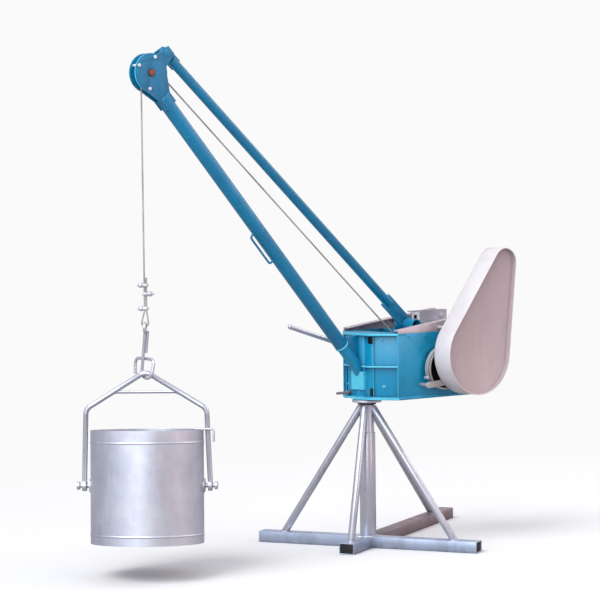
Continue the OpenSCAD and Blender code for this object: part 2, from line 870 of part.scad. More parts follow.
// Standoffs between the side plate or rail and the guard, and a front strap
module guard_studs() {
    strap_t = 5;
    strap_r = 11;
    strap = drum + [91, -56];
    hold = strap + [-84, 6];
    color(steel) in_head() {
        for (a = stud_angles)
            bar_y(guard_big[0] + stud_ring_r * cos(a), head_half,
                  guard_big[1] + stud_ring_r * sin(a), guard_y - head_half, stud_r);
        bar_y(strap[0], head_half, strap[1], guard_y - strap_t - head_half, stud_r);
        tangent_plate(guard_y - strap_t, strap_t, strap, strap_r, hold, strap_r);
    }
}

// Fixed bearing tube of the belt wheel's shaft
module shaft_housing() {
    color(steel) in_head() {
        bar_y(guard_big[0], head_half, guard_big[1], guard_y - head_half, 13);
        bar_y(guard_big[0], head_half, guard_big[1], 8, 24);
    }
}

// ------------------------------------------------------------------ winch

// Flanged bearings on the outside of both side plates
module drum_bearings() {
    t = 7;
    color(steel) in_head() for (y = [head_half, -head_half - t])
        difference() {
            bar_y(drum[0], y, drum[1], t, 36);
            bar_y(drum[0], y - 1, drum[1], t + 2, shaft_r + fit);
        }
}

brake_y = head_half + 12;

// Barrel, flanges and shaft, turned as one
module winch_drum() {
    flange_t = 6;
    barrel_wall = 5;
    color(steel) in_head() {
        difference() {
            bar_y(drum[0], -barrel_half, drum[1], 2 * barrel_half, barrel_r);
            bar_y(drum[0], -barrel_half, drum[1], 2 * barrel_half, barrel_r - barrel_wall);
        }
        for (y = [-barrel_half - flange_t, barrel_half])
            bar_y(drum[0], y, drum[1], flange_t, flange_r);
        bar_y(drum[0], -head_half - 22, drum[1], head_half + 22 + brake_y + brake_w + 2, shaft_r);
    }
}

// One layer of rope either side of the lead
module wound_rope() {
    lane = rope_r + touch;
    far = 84;
    near = 54;
    color(rope_grey) in_head() for (span = [[-far, far - lane], [lane, near - lane]])
        difference() {
            bar_y(drum[0], span[0], drum[1], span[1], barrel_r + rope_d);
            bar_y(drum[0], span[0] - 1, drum[1], span[1] + 2, barrel_r);
        }
}

// Dished brake drum on the shaft, outside the near side plate
module brake_drum() {
    rim_t = 7;
    web_t = 6;
    hub_r = 26;
    color(steel) in_head() translate([drum[0], brake_y, drum[1]]) rotate([-90, 0, 0])
        rotate_extrude()
            polygon([[shaft_r + fit, 0], [brake_r, 0], [brake_r, brake_w],
                     [brake_r - rim_t, brake_w], [brake_r - rim_t, web_t],
                     [hub_r, web_t], [hub_r, brake_w - 4], [shaft_r + fit, brake_w - 4]]);
}

// Rope from the drum to the top of the sheave and round to its front
module rope_lead() {
    wrap = 150;
    lap = 0.5 * unit(lead_high - lead_low);
    a = lead_low - lap;
    b = lead_high + lap;
    color(rope_grey) in_head() {
        strut([a[0], 0, a[1]], [b[0], 0, b[1]], rope_r);
        translate([axle[0], 0, axle[1]]) rotate([90, 0, 0]) rotate_extrude(angle = lead_angle)
            translate([sheave_rope_r, 0]) circle(r = rope_r + swell);
        translate([drum[0], 0, drum[1]]) rotate([90, 0, 0]) rotate([0, 0, lead_angle])
            rotate_extrude(angle = wrap)
                translate([drum_rope_r, 0]) circle(r = rope_r + swell);
    }
}

// ------------------------------------------------------------------- load

module rope_fall() {
    color(rope_grey) in_load()
        translate([0, 0, tail_top_z]) cylinder(h = axle[1] - tail_top_z, r = rope_r);
}

// Rope end bent back on itself round the hook's ring
module rope_eye() {
    wide = 14;
    color(rope_grey) in_load()
        bent_rod([[0, 0, tail_top_z], [0, 0, eye_top_z], [-wide, 0, loop_low_z],
                  [wide, 0, loop_low_z], [strand_x, 0, eye_top_z],
                  [strand_x, 0, eye_top_z + tail_len]], rope_r, 10.5);
}

// Three wire rope grips, set to alternate sides
module rope_clips() {
    saddle = [15, 13, 9];
    leg = 24;
    color("white") in_load() for (i = [0 : len(clip_z) - 1])
        translate([strand_x / 2, 0, clip_z[i]]) rotate([0, 0, i % 2 == 0 ? 180 : 0]) {
            difference() {
                translate([-saddle[0] / 2, -saddle[1] / 2, -saddle[2] / 2]) cube(saddle);
                for (x = [-strand_x / 2, strand_x / 2])
                    translate([x, 0, -10]) cylinder(h = 20, r = rope_r + touch / 2);
            }
            for (y = [-4, 4]) translate([saddle[0] / 2, y, 0]) rotate([0, 90, 0])
                cylinder(h = leg, r = 2);
            translate([saddle[0] / 2 + 6, 0, 0]) rotate([0, 90, 0])
                cylinder(h = 5, r = 8.5);
        }
}

// Pigtail hook: ring, shank, bend under the bail and a turned-down tip
module hook() {
    top = hook_eye_z - eye_ring_r;
    high = hook_low + coil_h;
    color(silver) in_load() {
        translate([0, 0, hook_eye_z]) rotate([90, 0, 90]) rotate_extrude()
            translate([eye_ring_r, 0]) circle(r = hook_r);
        rotate([0, 0, -hook_turn])
            strut([5, 8.5, top + 4], [-9, 8.5, top - 72], hook_r * 0.9);
        rotate([0, 0, -hook_turn])
            bent_rod([[0, 0, top], [-28, 0, hook_low], [34, 0, hook_low],
                      [34, 16, high], [-92, 16, high], [-92, 16, high - 56]], hook_r, 24);
    }
}

// Bent rod bail with drilled feet and a tie bar
module bail() {
    foot_t = 14;
    foot_r = 19;
    shoulder_x = bail_half - 9;
    crown = bail_top_z + 7;
    slope = (crown - (bail_top_z - shoulder_drop)) / shoulder_x;
    tie_x = (crown - (bail_top_z - tie_drop)) / slope;
    color(silver) in_load() difference() {
        union() {
            bent_rod([[-bail_half, 0, trunnion_z + foot_r - 2],
                      [-shoulder_x, 0, bail_top_z - shoulder_drop], [0, 0, crown],
                      [shoulder_x, 0, bail_top_z - shoulder_drop],
                      [bail_half, 0, trunnion_z + foot_r - 2]], bail_r, 34);
            for (side = [-1, 1])
                translate([side * bail_half - foot_t / 2, 0, trunnion_z])
                    rotate([0, 90, 0]) cylinder(h = foot_t, r = foot_r);
            strut([-tie_x, 0, bail_top_z - tie_drop], [tie_x, 0, bail_top_z - tie_drop],
                  tie_d / 2);
        }
        translate([-2 * bail_half, 0, trunnion_z]) rotate([0, 90, 0])
            cylinder(h = 4 * bail_half, r = trunnion_r + fit);
    }
}

// Bucket axes: origin at the base, tipped back about the trunnions
module in_bucket() {
    in_load() translate([0, 0, trunnion_z]) rotate([-bucket_tip, 0, 0])
        translate([0, 0, -trunnion_h]) children();
}

// Sheet bucket with a rolled rim and two beads
module bucket() {
    r = bucket_r;
    w = bucket_wall;
    bead = 2;
    top_bead = bucket_h - 42;
    low_bead = 31;
    color(silver) in_bucket() rotate_extrude($fn = 96)
        polygon([[0, 0], [r, 0], [r, low_bead - 4], [r + bead, low_bead],
                 [r, low_bead + 4], [r, top_bead - 4], [r + bead, top_bead],
                 [r, top_bead + 4], [r, bucket_h], [r - w, bucket_h], [r - w, w], [0, w]]);
}

// Pins on round pads, with washers outside the bail's feet
module bucket_trunnions() {
    pad_t = 5;
    end_x = bail_half + 26;
    color(steel) in_bucket() for (side = [-1, 1]) scale([side, 1, 1])
        translate([0, 0, trunnion_h]) {
            difference() {
                translate([bucket_r - 12, 0, 0]) rotate([0, 90, 0])
                    cylinder(h = 12 + pad_t, r = 24);
                translate([0, 0, -60]) cylinder(h = 120, r = bucket_r);
            }
            translate([bucket_r + pad_t, 0, 0]) rotate([0, 90, 0])
                cylinder(h = end_x - bucket_r - pad_t, r = trunnion_r);
            translate([end_x - 10, 0, 0]) rotate([0, 90, 0]) cylinder(h = 10, r = 14);
        }
}

// Wire stop at the rim that the right leg of the bail rests against
module bail_latch() {
    rod_r = 4;
    z = bucket_h + rod_r - 1.5;
    front = -(bail_r + rod_r + 1 + (z - trunnion_h) * sin(bucket_tip));
    out_x = bail_half + 16;
    color(silver) in_bucket() difference() {
        bent_rod([[bucket_r - 26, front, z], [out_x, front, z],
                  [out_x, front, z - 44]], rod_r, 9);
        cylinder(h = bucket_h, r = bucket_r);
    }
}

// ---------------------------------------------------------- control lever

lever_y = head_half + 23;
lever_hub_t = 20;
pivot_r = 9;

// Shouldered pin from the far side plate through the lever's hub
module lever_pivot() {
    boss_t = lever_y - lever_hub_t / 2 - head_half - 1;
    end_y = -lever_y - lever_hub_t / 2 - 1;
    color(steel) in_head() translate([-lever_x, 0, head_z + lever_rise]) {
        bar_y(0, -head_half - boss_t, 0, boss_t, pivot_r + 9);
        bar_y(0, end_y - 5, 0, -head_half - end_y + 5, pivot_r);
        bar_y(0, end_y - 5, 0, 5, pivot_r + 4);
    }
}

// Straight brake lever with a round hub and a domed tip
module control_lever() {
    color(silver) in_head() translate([-lever_x, -lever_y, head_z + lever_rise])
        rotate([0, -lever_pitch, 0]) difference() {
            union() {
                bar_y(0, -lever_hub_t / 2, 0, lever_hub_t, 20);
                rotate([0, 90, 0]) cylinder(h = lever_len, r = lever_d / 2);
                translate([lever_len, 0, 0]) sphere(r = lever_d / 2);
            }
            bar_y(0, -lever_hub_t, 0, 2 * lever_hub_t, pivot_r + fit);
        }
}

cross_arm();
front_arm_tube();
rear_arm_tube();
arm_plugs();
post();
brace_left();
brace_right();
brace_front();
brace_rear();
slew_seat();
head_floor();
head_deck();
head_sleeve();
nose_panels();
nose_ribs();
side_plate_near();
side_plate_far();
rear_plate();
slew_lock_screw();
jib_spigot();
jib_saddle();
jib_gusset();
jib_tube();
jib_handle();
cheek_near();
cheek_far();
cheek_spacers();
sheave_axle();
stay();
stay_pin();
stay_anchor();
frame_rail_near();
frame_rail_far();
motor_bracket();
belt_guard();
guard_back();
guard_studs();
shaft_housing();
drum_bearings();
rope_lead();
winch_drum();
wound_rope();
brake_drum();
sheave();
rope_fall();
rope_eye();
rope_clips();
hook();
bail();
bucket();
bucket_trunnions();
bail_latch();
lever_pivot();
control_lever();
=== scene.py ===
import json
import logging
import math
from dataclasses import dataclass
from enum import Enum
from typing import Callable, Dict, Iterable, List, Optional, Sequence, Tuple

import bmesh
import bpy
from mathutils import Matrix, Vector

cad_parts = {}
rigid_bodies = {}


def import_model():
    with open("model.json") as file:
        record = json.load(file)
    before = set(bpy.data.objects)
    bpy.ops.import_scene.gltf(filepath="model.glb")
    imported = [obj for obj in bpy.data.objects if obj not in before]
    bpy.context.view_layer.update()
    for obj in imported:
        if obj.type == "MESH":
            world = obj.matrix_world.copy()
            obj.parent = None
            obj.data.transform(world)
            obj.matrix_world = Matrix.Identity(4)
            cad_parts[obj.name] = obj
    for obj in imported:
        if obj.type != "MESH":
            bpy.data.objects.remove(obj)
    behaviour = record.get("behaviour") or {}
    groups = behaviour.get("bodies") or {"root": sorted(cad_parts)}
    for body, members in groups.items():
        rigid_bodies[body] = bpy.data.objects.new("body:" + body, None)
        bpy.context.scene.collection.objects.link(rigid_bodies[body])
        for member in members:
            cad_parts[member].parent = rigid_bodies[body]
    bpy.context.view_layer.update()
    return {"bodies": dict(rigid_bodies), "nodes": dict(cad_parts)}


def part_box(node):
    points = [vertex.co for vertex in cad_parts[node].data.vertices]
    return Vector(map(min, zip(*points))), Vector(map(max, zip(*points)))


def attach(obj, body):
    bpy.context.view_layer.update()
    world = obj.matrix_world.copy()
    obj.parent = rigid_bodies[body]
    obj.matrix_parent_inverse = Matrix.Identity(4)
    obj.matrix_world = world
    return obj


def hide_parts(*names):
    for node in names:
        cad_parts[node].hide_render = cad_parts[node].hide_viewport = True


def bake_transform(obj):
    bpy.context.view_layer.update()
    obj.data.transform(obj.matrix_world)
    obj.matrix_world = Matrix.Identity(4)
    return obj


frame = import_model()
log = logging.getLogger("davit_hoist")

Point = Tuple[float, float, float]
Colour = Tuple[float, float, float]
MM = 0.001


# ------------------------------------------------------------------ layout

def tangent_normal(a: Vector, ra: float, b: Vector, rb: float, side: int) -> Vector:
    """Unit normal of the outer tangent of two circles.

    Args:
        a: Centre of the first circle.
        ra: Radius of the first circle.
        b: Centre of the second circle.
        rb: Radius of the second circle.
        side: 1 for the left flank and -1 for the right, looking from a to b.

    Returns:
        The direction from each centre to its tangent point.
    """
    along = b - a
    length = along.length
    along = along / length
    lean = (ra - rb) / length
    across = Vector((-along.y, along.x))
    return along * lean + across * side * math.sqrt(1 - lean * lean)


@dataclass(frozen=True)
class Layout:
    """Where the hoist's sub-assemblies stand, in millimetres and degrees."""

    # Gap between pieces that touch, and how far the head and the load are turned
    touch: float = 0.3
    head_yaw: float = 242.5
    load_yaw: float = 20.0

    # Base
    arm_w: float = 58.0
    arm_h: float = 41.0
    post_r: float = 30.0
    post_upper_r: float = 26.5
    post_step_z: float = 425.0
    post_top_z: float = 531.0

    # Head
    head_z: float = 554.0
    deck_z: float = 798.0
    floor_t: float = 8.0
    sleeve_r: float = 42.0
    head_front: float = 50.0
    head_half: float = 159.0
    panel_set: float = 18.0

    # Jib, saddle and sheave head
    jib_pitch: float = 48.8
    jib_x: float = 42.0
    jib_z: float = 668.0
    jib_start: float = 112.0
    jib_len: float = 1201.0
    jib_r: float = 25.5
    spigot_r: float = 22.4
    saddle_top: float = 656.0
    saddle_low: float = 590.0
    saddle_half: float = 34.0
    saddle_front: float = 48.0
    axle_reach: float = 100.0
    axle_lift: float = 12.0
    sheave_rope_r: float = 30.0
    cheek_y: float = 14.0
    cheek_t: float = 5.0
    ear_back: float = 73.0
    ear_rise: float = 68.0
    stay_foot: Tuple[float, float] = (-205.0, 816.0)

    # Winch and rope
    drum_x: float = 218.0
    drum_z: float = 662.0
    barrel_r: float = 31.0
    brake_y: float = 171.0
    brake_r: float = 78.0
    brake_w: float = 24.0
    rope_r: float = 3.0

    # Load
    bail_top_z: float = 704.0
    bail_half: float = 219.0
    trunnion_z: float = 316.0
    trunnion_h: float = 198.0
    bucket_tip: float = 4.5
    bucket_r: float = 196.0
    bucket_h: float = 390.0

    # Motor bracket and belt guard
    bracket_y: float = 12.0
    guard_y: float = 205.0
    guard_depth: float = 85.0
    guard_big: Tuple[float, float] = (-305.0, 714.0)
    guard_small: Tuple[float, float] = (-438.0, 1050.0)
    guard_big_r: float = 150.0
    guard_small_r: float = 54.0
    guard_recess: float = 20.0

    @property
    def row(self) -> Matrix:
        """The part's own axes, from millimetres to metres."""
        return Matrix.Scale(MM, 4)

    @property
    def head(self) -> Matrix:
        """The head's axes: +X along the jib, +Y to the belt guard."""
        return self.row @ Matrix.Rotation(math.radians(self.head_yaw), 4, "Z")

    @property
    def panel_x(self) -> float:
        """Front of the head's middle panel."""
        return self.head_front - self.panel_set

    @property
    def jib_dir(self) -> Vector:
        """Direction up the jib in the head's X and Z."""
        a = math.radians(self.jib_pitch)
        return Vector((math.cos(a), math.sin(a)))

    @property
    def jib_up(self) -> Vector:
        """Direction square to the jib, away from its underside."""
        d = self.jib_dir
        return Vector((-d.y, d.x))

    def jib(self, s: float) -> Matrix:
        """The jib's axes at a distance up its centre line.

        Args:
            s: Distance from the jib's reference point.

        Returns:
            Axes whose Z runs up the jib and whose X points to its underside.
        """
        foot = Matrix.Translation((self.jib_x, 0, self.jib_z))
        lean = Matrix.Rotation(math.radians(90 - self.jib_pitch), 4, "Y")
        return self.head @ foot @ lean @ Matrix.Translation((0, 0, s))

    @property
    def jib_end(self) -> Vector:
        """Upper end of the jib tube in the head's X and Z."""
        reach = self.jib_start + self.jib_len
        return Vector((self.jib_x, self.jib_z)) + self.jib_dir * reach

    @property
    def axle(self) -> Vector:
        """Sheave axle in the head's X and Z."""
        return self.jib_end + self.jib_dir * self.axle_reach + self.jib_up * self.axle_lift

    @property
    def fall_x(self) -> float:
        """Distance of the falling rope in front of the slewing axis."""
        return self.axle.x + self.sheave_rope_r

    @property
    def load(self) -> Matrix:
        """The hanging load's axes: +X along the trunnions, Z on the rope."""
        yaw = math.radians(self.load_yaw - self.head_yaw)
        return self.head @ Matrix.Translation((self.fall_x, 0, 0)) @ Matrix.Rotation(yaw, 4, "Z")

    @property
    def bucket(self) -> Matrix:
        """The bucket's axes, with the origin at the middle of its base."""
        tip = Matrix.Rotation(math.radians(-self.bucket_tip), 4, "X")
        up = Matrix.Translation((0, 0, self.trunnion_z))
        return self.load @ up @ tip @ Matrix.Translation((0, 0, -self.trunnion_h))

    @property
    def drum(self) -> Vector:
        """Drum axis in the head's X and Z."""
        return Vector((-self.drum_x, self.drum_z))

    @property
    def drum_rope_r(self) -> float:
        """Radius of the rope's centre on the drum."""
        return self.barrel_r + self.touch + self.rope_r


PLAN = Layout()


# ---------------------------------------------------------------- materials

def paint_rgb(red: int, green: int, blue: int) -> Colour:
    """Turns a screen colour from 0 to 255 into scene light values."""
    def one(value: int) -> float:
        """Turns one channel."""
        c = value / 255
        return c / 12.92 if c <= 0.04045 else ((c + 0.055) / 1.055) ** 2.4
    return (one(red), one(green), one(blue))


class Sheet:
    """A shader graph being filled, with short ways to add and join nodes."""

    def __init__(self, tree: bpy.types.NodeTree) -> None:
        """Starts from an empty tree.

        Args:
            tree: The material's or group's node tree.
        """
        self.tree = tree
        self.tree.nodes.clear()
        self.column = 0

    def add(self, kind: str, **values: object) -> bpy.types.Node:
        """Adds one node.

        Args:
            kind: Blender's name of the node type.
            **values: Attributes of the node.

        Returns:
            The new node.
        """
        node = self.tree.nodes.new(kind)
        self.column += 1
        node.location = (180 * (self.column % 8), -220 * (self.column // 8))
        for key, value in values.items():
            setattr(node, key, value)
        return node

    def join(self, source: bpy.types.NodeSocket, target: bpy.types.NodeSocket) -> None:
        """Links an output to an input."""
        self.tree.links.new(source, target)

    def math(self, how: str, a: object, b: object, clamp: bool = False) -> bpy.types.NodeSocket:
        """Adds a Math node.

        Args:
            how: The operation's name.
            a: First value, a number or a socket.
            b: Second value, a number or a socket.
            clamp: Whether the result is held from 0 to 1.

        Returns:
            The result's socket.
        """
        node = self.add("ShaderNodeMath", operation=how, use_clamp=clamp)
        for index, value in enumerate((a, b)):
            if isinstance(value, bpy.types.NodeSocket):
                self.join(value, node.inputs[index])
            else:
                node.inputs[index].default_value = value
        return node.outputs[0]

    def ramp(self, value: bpy.types.NodeSocket, low: float, high: float,
             out_low: float = 0.0, out_high: float = 1.0) -> bpy.types.NodeSocket:
        """Maps a value from one range to another, clamped."""
        node = self.add("ShaderNodeMapRange")
        node.inputs["From Min"].default_value = low
        node.inputs["From Max"].default_value = high
        node.inputs["To Min"].default_value = out_low
        node.inputs["To Max"].default_value = out_high
        self.join(value, node.inputs["Value"])
        return node.outputs["Result"]

    def mix(self, mask: bpy.types.NodeSocket, a: object, b: object) -> bpy.types.NodeSocket:
        """Mixes two colours.

        Args:
            mask: Share of the second colour.
            a: First colour or socket.
            b: Second colour or socket.

        Returns:
            The mixed colour's socket.
        """
        node = self.add("ShaderNodeMix", data_type="RGBA")
        self.join(mask, node.inputs[0])
        for index, value in ((6, a), (7, b)):
            if isinstance(value, bpy.types.NodeSocket):
                self.join(value, node.inputs[index])
            else:
                node.inputs[index].default_value = (*value, 1.0)
        return node.outputs[2]

    def noise(self, vector: bpy.types.NodeSocket, scale: object, detail: float,
              rough: float) -> bpy.types.NodeSocket:
        """Adds a noise texture and returns its value."""
        node = self.add("ShaderNodeTexNoise")
        node.inputs["Detail"].default_value = detail
        node.inputs["Roughness"].default_value = rough
        if isinstance(scale, bpy.types.NodeSocket):
            self.join(scale, node.inputs["Scale"])
        else:
            node.inputs["Scale"].default_value = scale
        self.join(vector, node.inputs["Vector"])
        return node.outputs["Fac"]

    def stretched(self, vector: bpy.types.NodeSocket, scale: Point) -> bpy.types.NodeSocket:
        """Scales a vector by a different amount along each axis."""
        node = self.add("ShaderNodeMapping")
        node.inputs["Scale"].default_value = scale
        self.join(vector, node.inputs["Vector"])
        return node.outputs["Vector"]


class Effect(Enum):
    """The shared surface effects, each one shader node group."""

    WORN_EDGE = "wear_and_highlight_edge"
    GRIME = "settled_grime_and_shade"
    RUNS = "rain_runs"
    SCUFF = "fine_scuffs"
    SKIN = "paint_skin"


class EffectShelf:
    """Builds each effect's node group once and places it in materials."""

    def __init__(self) -> None:
        """Starts with no group built."""
        self.built: Dict[Effect, bpy.types.NodeTree] = {}

    @staticmethod
    def _sockets(tree: bpy.types.NodeTree, ins: Dict[str, float],
                 outs: Dict[str, str]) -> None:
        """Declares a group's sockets.

        Args:
            tree: The group.
            ins: Input names and their default values.
            outs: Output names and their socket types.
        """
        for name, value in ins.items():
            item = tree.interface.new_socket(name, in_out="INPUT", socket_type="NodeSocketFloat")
            item.default_value = value
        for name, kind in outs.items():
            tree.interface.new_socket(name, in_out="OUTPUT", socket_type=kind)

    def _wear_and_highlight_edge(self, tree: bpy.types.NodeTree) -> None:
        """Sharp corners, broken up by noise: where paint wears thin, and where a lighter colour is
        a painted highlight along the edge.
        """
        self._sockets(tree, {"Scale": 60.0, "Reach": 0.0016}, {"Mask": "NodeSocketFloat"})
        s = Sheet(tree)
        inp, out = s.add("NodeGroupInput"), s.add("NodeGroupOutput")
        where = s.add("ShaderNodeTexCoord").outputs["Object"]
        rounded = s.add("ShaderNodeBevel", samples=6)
        s.join(inp.outputs["Reach"], rounded.inputs["Radius"])
        match = s.add("ShaderNodeVectorMath", operation="DOT_PRODUCT")
        s.join(rounded.outputs["Normal"], match.inputs[0])
        s.join(s.add("ShaderNodeNewGeometry").outputs["Normal"], match.inputs[1])
        edge = s.ramp(match.outputs["Value"], 0.995, 0.9)
        broken = s.noise(where, inp.outputs["Scale"], detail=6.0, rough=0.65)
        cut = s.math("MULTIPLY", edge, s.ramp(broken, 0.3, 0.6, 0.25, 1.0))
        s.join(cut, out.inputs["Mask"])

    def _grime_and_shade(self, tree: bpy.types.NodeTree) -> None:
        """Darker towards the bottom and in patches, with painted shade in hollows and between
        parts from ambient occlusion.
        """
        self._sockets(tree, {"Scale": 9.0, "Amount": 0.4, "Top": 0.5},
                      {"Mask": "NodeSocketFloat"})
        s = Sheet(tree)
        inp, out = s.add("NodeGroupInput"), s.add("NodeGroupOutput")
        where = s.add("ShaderNodeTexCoord").outputs["Object"]
        parts = s.add("ShaderNodeSeparateXYZ")
        s.join(where, parts.inputs[0])
        low = s.math("DIVIDE", parts.outputs["Z"], inp.outputs["Top"], clamp=True)
        low = s.math("SUBTRACT", 1.0, low)
        patch = s.ramp(s.noise(where, inp.outputs["Scale"], detail=7.0, rough=0.62), 0.5, 0.8)
        # Ambient occlusion darkens hollows and the gaps between parts: painted shade.
        hollow = s.add("ShaderNodeAmbientOcclusion", samples=8)
        hollow.inputs["Distance"].default_value = 0.022
        hollow = s.ramp(hollow.outputs["AO"], 0.75, 0.3)
        crumbs = s.ramp(s.noise(where, 60.0, detail=5.0, rough=0.6), 0.3, 0.6, 0.4, 1.0)
        hollow = s.math("MULTIPLY", hollow, crumbs)
        mask = s.math("MULTIPLY", patch, s.math("ADD", s.math("MULTIPLY", low, 0.7), 0.25))
        mask = s.math("ADD", mask, hollow, clamp=True)
        s.join(s.math("MULTIPLY", mask, inp.outputs["Amount"], clamp=True), out.inputs["Mask"])

    def _runs(self, tree: bpy.types.NodeTree) -> None:
        """Long upright stains where water has run down."""
        self._sockets(tree, {"Spread": 55.0, "Amount": 0.5}, {"Mask": "NodeSocketFloat"})
        s = Sheet(tree)
        inp, out = s.add("NodeGroupInput"), s.add("NodeGroupOutput")
        where = s.add("ShaderNodeTexCoord").outputs["Object"]
        tall = s.stretched(where, (1.0, 1.0, 0.07))
        fine = s.noise(tall, inp.outputs["Spread"], detail=3.0, rough=0.5)
        wide = s.noise(where, 5.0, detail=2.0, rough=0.5)
        mask = s.math("MULTIPLY", s.ramp(fine, 0.5, 0.72), s.ramp(wide, 0.42, 0.62))
        s.join(s.math("MULTIPLY", mask, inp.outputs["Amount"], clamp=True), out.inputs["Mask"])

    def _scuff(self, tree: bpy.types.NodeTree) -> None:
        """Short crossing scratches."""
        self._sockets(tree, {"Scale": 60.0, "Amount": 0.5}, {"Mask": "NodeSocketFloat"})
        s = Sheet(tree)
        inp, out = s.add("NodeGroupInput"), s.add("NodeGroupOutput")
        where = s.add("ShaderNodeTexCoord").outputs["Object"]
        one, two = (s.noise(s.stretched(where, scale), inp.outputs["Scale"], detail=2.0, rough=0.5)
                    for scale in ((0.12, 1.3, 2.6), (2.2, 0.2, 0.9)))
        lines = s.math("MAXIMUM", s.ramp(one, 0.66, 0.72), s.ramp(two, 0.67, 0.73))
        spread = s.ramp(s.noise(where, 12.0, detail=3.0, rough=0.5), 0.45, 0.6)
        mask = s.math("MULTIPLY", lines, spread)
        s.join(s.math("MULTIPLY", mask, inp.outputs["Amount"], clamp=True), out.inputs["Mask"])

    def _skin(self, tree: bpy.types.NodeTree) -> None:
        """Sprayed paint's uneven skin, as a normal and as a soft mottle."""
        self._sockets(tree, {"Scale": 260.0, "Height": 0.12},
                      {"Normal": "NodeSocketVector", "Mottle": "NodeSocketFloat"})
        s = Sheet(tree)
        inp, out = s.add("NodeGroupInput"), s.add("NodeGroupOutput")
        where = s.add("ShaderNodeTexCoord").outputs["Object"]
        peel = s.noise(where, inp.outputs["Scale"], detail=2.0, rough=0.4)
        bow = s.noise(where, 7.0, detail=2.0, rough=0.4)
        tall = s.math("ADD", s.math("MULTIPLY", peel, 0.25), s.math("MULTIPLY", bow, 2.5))
        bump = s.add("ShaderNodeBump")
        bump.inputs["Distance"].default_value = 0.0012
        s.join(inp.outputs["Height"], bump.inputs["Strength"])
        s.join(tall, bump.inputs["Height"])
        s.join(bump.outputs["Normal"], out.inputs["Normal"])
        s.join(s.noise(where, 4.5, detail=5.0, rough=0.6), out.inputs["Mottle"])

    def place(self, sheet: Sheet, effect: Effect, **values: float) -> bpy.types.Node:
        """Puts an effect in a material.

        Args:
            sheet: The material's graph.
            effect: Which effect.
            **values: The group's inputs by name.

        Returns:
            The group node.
        """
        if effect not in self.built:
            tree = bpy.data.node_groups.new(effect.value, "ShaderNodeTree")
            makers: Dict[Effect, Callable[[bpy.types.NodeTree], None]] = {
                Effect.WORN_EDGE: self._wear_and_highlight_edge,
                Effect.GRIME: self._grime_and_shade,
                Effect.RUNS: self._runs,
                Effect.SCUFF: self._scuff,
                Effect.SKIN: self._skin,
            }
            makers[effect](tree)
            self.built[effect] = tree
        node = sheet.add("ShaderNodeGroup")
        node.node_tree = self.built[effect]
        for key, value in values.items():
            node.inputs[key].default_value = value
        return node


EFFECTS = EffectShelf()


def open_material(name: str) -> Tuple[bpy.types.Material, Sheet, bpy.types.Node]:
    """Starts a material with a Principled shader.

    Args:
        name: The material's name.

    Returns:
        The material, its graph and the shader node.
    """
    material = bpy.data.materials.new(name)
    material.use_nodes = True
    sheet = Sheet(material.node_tree)
    shader = sheet.add("ShaderNodeBsdfPrincipled")
    out = sheet.add("ShaderNodeOutputMaterial")
    sheet.join(shader.outputs[0], out.inputs["Surface"])
    return material, sheet, shader


@dataclass(frozen=True)
class PaintFinish:
    """Sprayed paint on steel, with lighter corners for wear and painted highlight, dirt with
    painted shade, runs and scuffs.
    """

    name: str
    colour: Colour
    shade: Colour
    wear_and_highlight: Colour
    dirt_and_shade: Colour
    rough: float = 0.4
    metallic: float = 0.0
    coat: float = 0.0
    edge_reach: float = 0.0018
    grime_and_shade: float = 0.4
    grime_and_shade_top: float = 0.5
    runs: float = 0.3
    scuffs: float = 0.3
    skin: float = 0.12

    def build(self) -> bpy.types.Material:
        """Returns the finished material."""
        material, s, shader = open_material(self.name)
        skin = EFFECTS.place(s, Effect.SKIN, Scale=260.0, Height=self.skin)
        wear_and_highlight = EFFECTS.place(s, Effect.WORN_EDGE, Scale=70.0, Reach=self.edge_reach)
        dirt_and_shade = EFFECTS.place(s, Effect.GRIME, Scale=11.0, Amount=self.grime_and_shade, Top=self.grime_and_shade_top)
        runs = EFFECTS.place(s, Effect.RUNS, Spread=60.0, Amount=self.runs)
        scuff = EFFECTS.place(s, Effect.SCUFF, Scale=50.0, Amount=self.scuffs)
        tone = s.ramp(skin.outputs["Mottle"], 0.35, 0.68)
        base = s.mix(tone, self.colour, self.shade)
        base = s.mix(runs.outputs["Mask"], base, self.dirt_and_shade)
        # Dirt and painted shade: darker towards the bottom, in patches and in hollows.
        base = s.mix(dirt_and_shade.outputs["Mask"], base, self.dirt_and_shade)
        # Edges and scuffs take the lighter colour: wear, and a painted highlight along the edges.
        marks = s.math("MAXIMUM", wear_and_highlight.outputs["Mask"], scuff.outputs["Mask"], clamp=True)
        base = s.mix(marks, base, self.wear_and_highlight)
        s.join(base, shader.inputs["Base Color"])
        rough = s.ramp(skin.outputs["Mottle"], 0.3, 0.7, self.rough - 0.05, self.rough + 0.08)
        rough = s.math("ADD", rough, s.math("MULTIPLY", dirt_and_shade.outputs["Mask"], 0.3), clamp=True)
        s.join(rough, shader.inputs["Roughness"])
        s.join(skin.outputs["Normal"], shader.inputs["Normal"])
        shader.inputs["Metallic"].default_value = self.metallic
        shader.inputs["Coat Weight"].default_value = self.coat
        shader.inputs["Coat Roughness"].default_value = 0.2
        return material


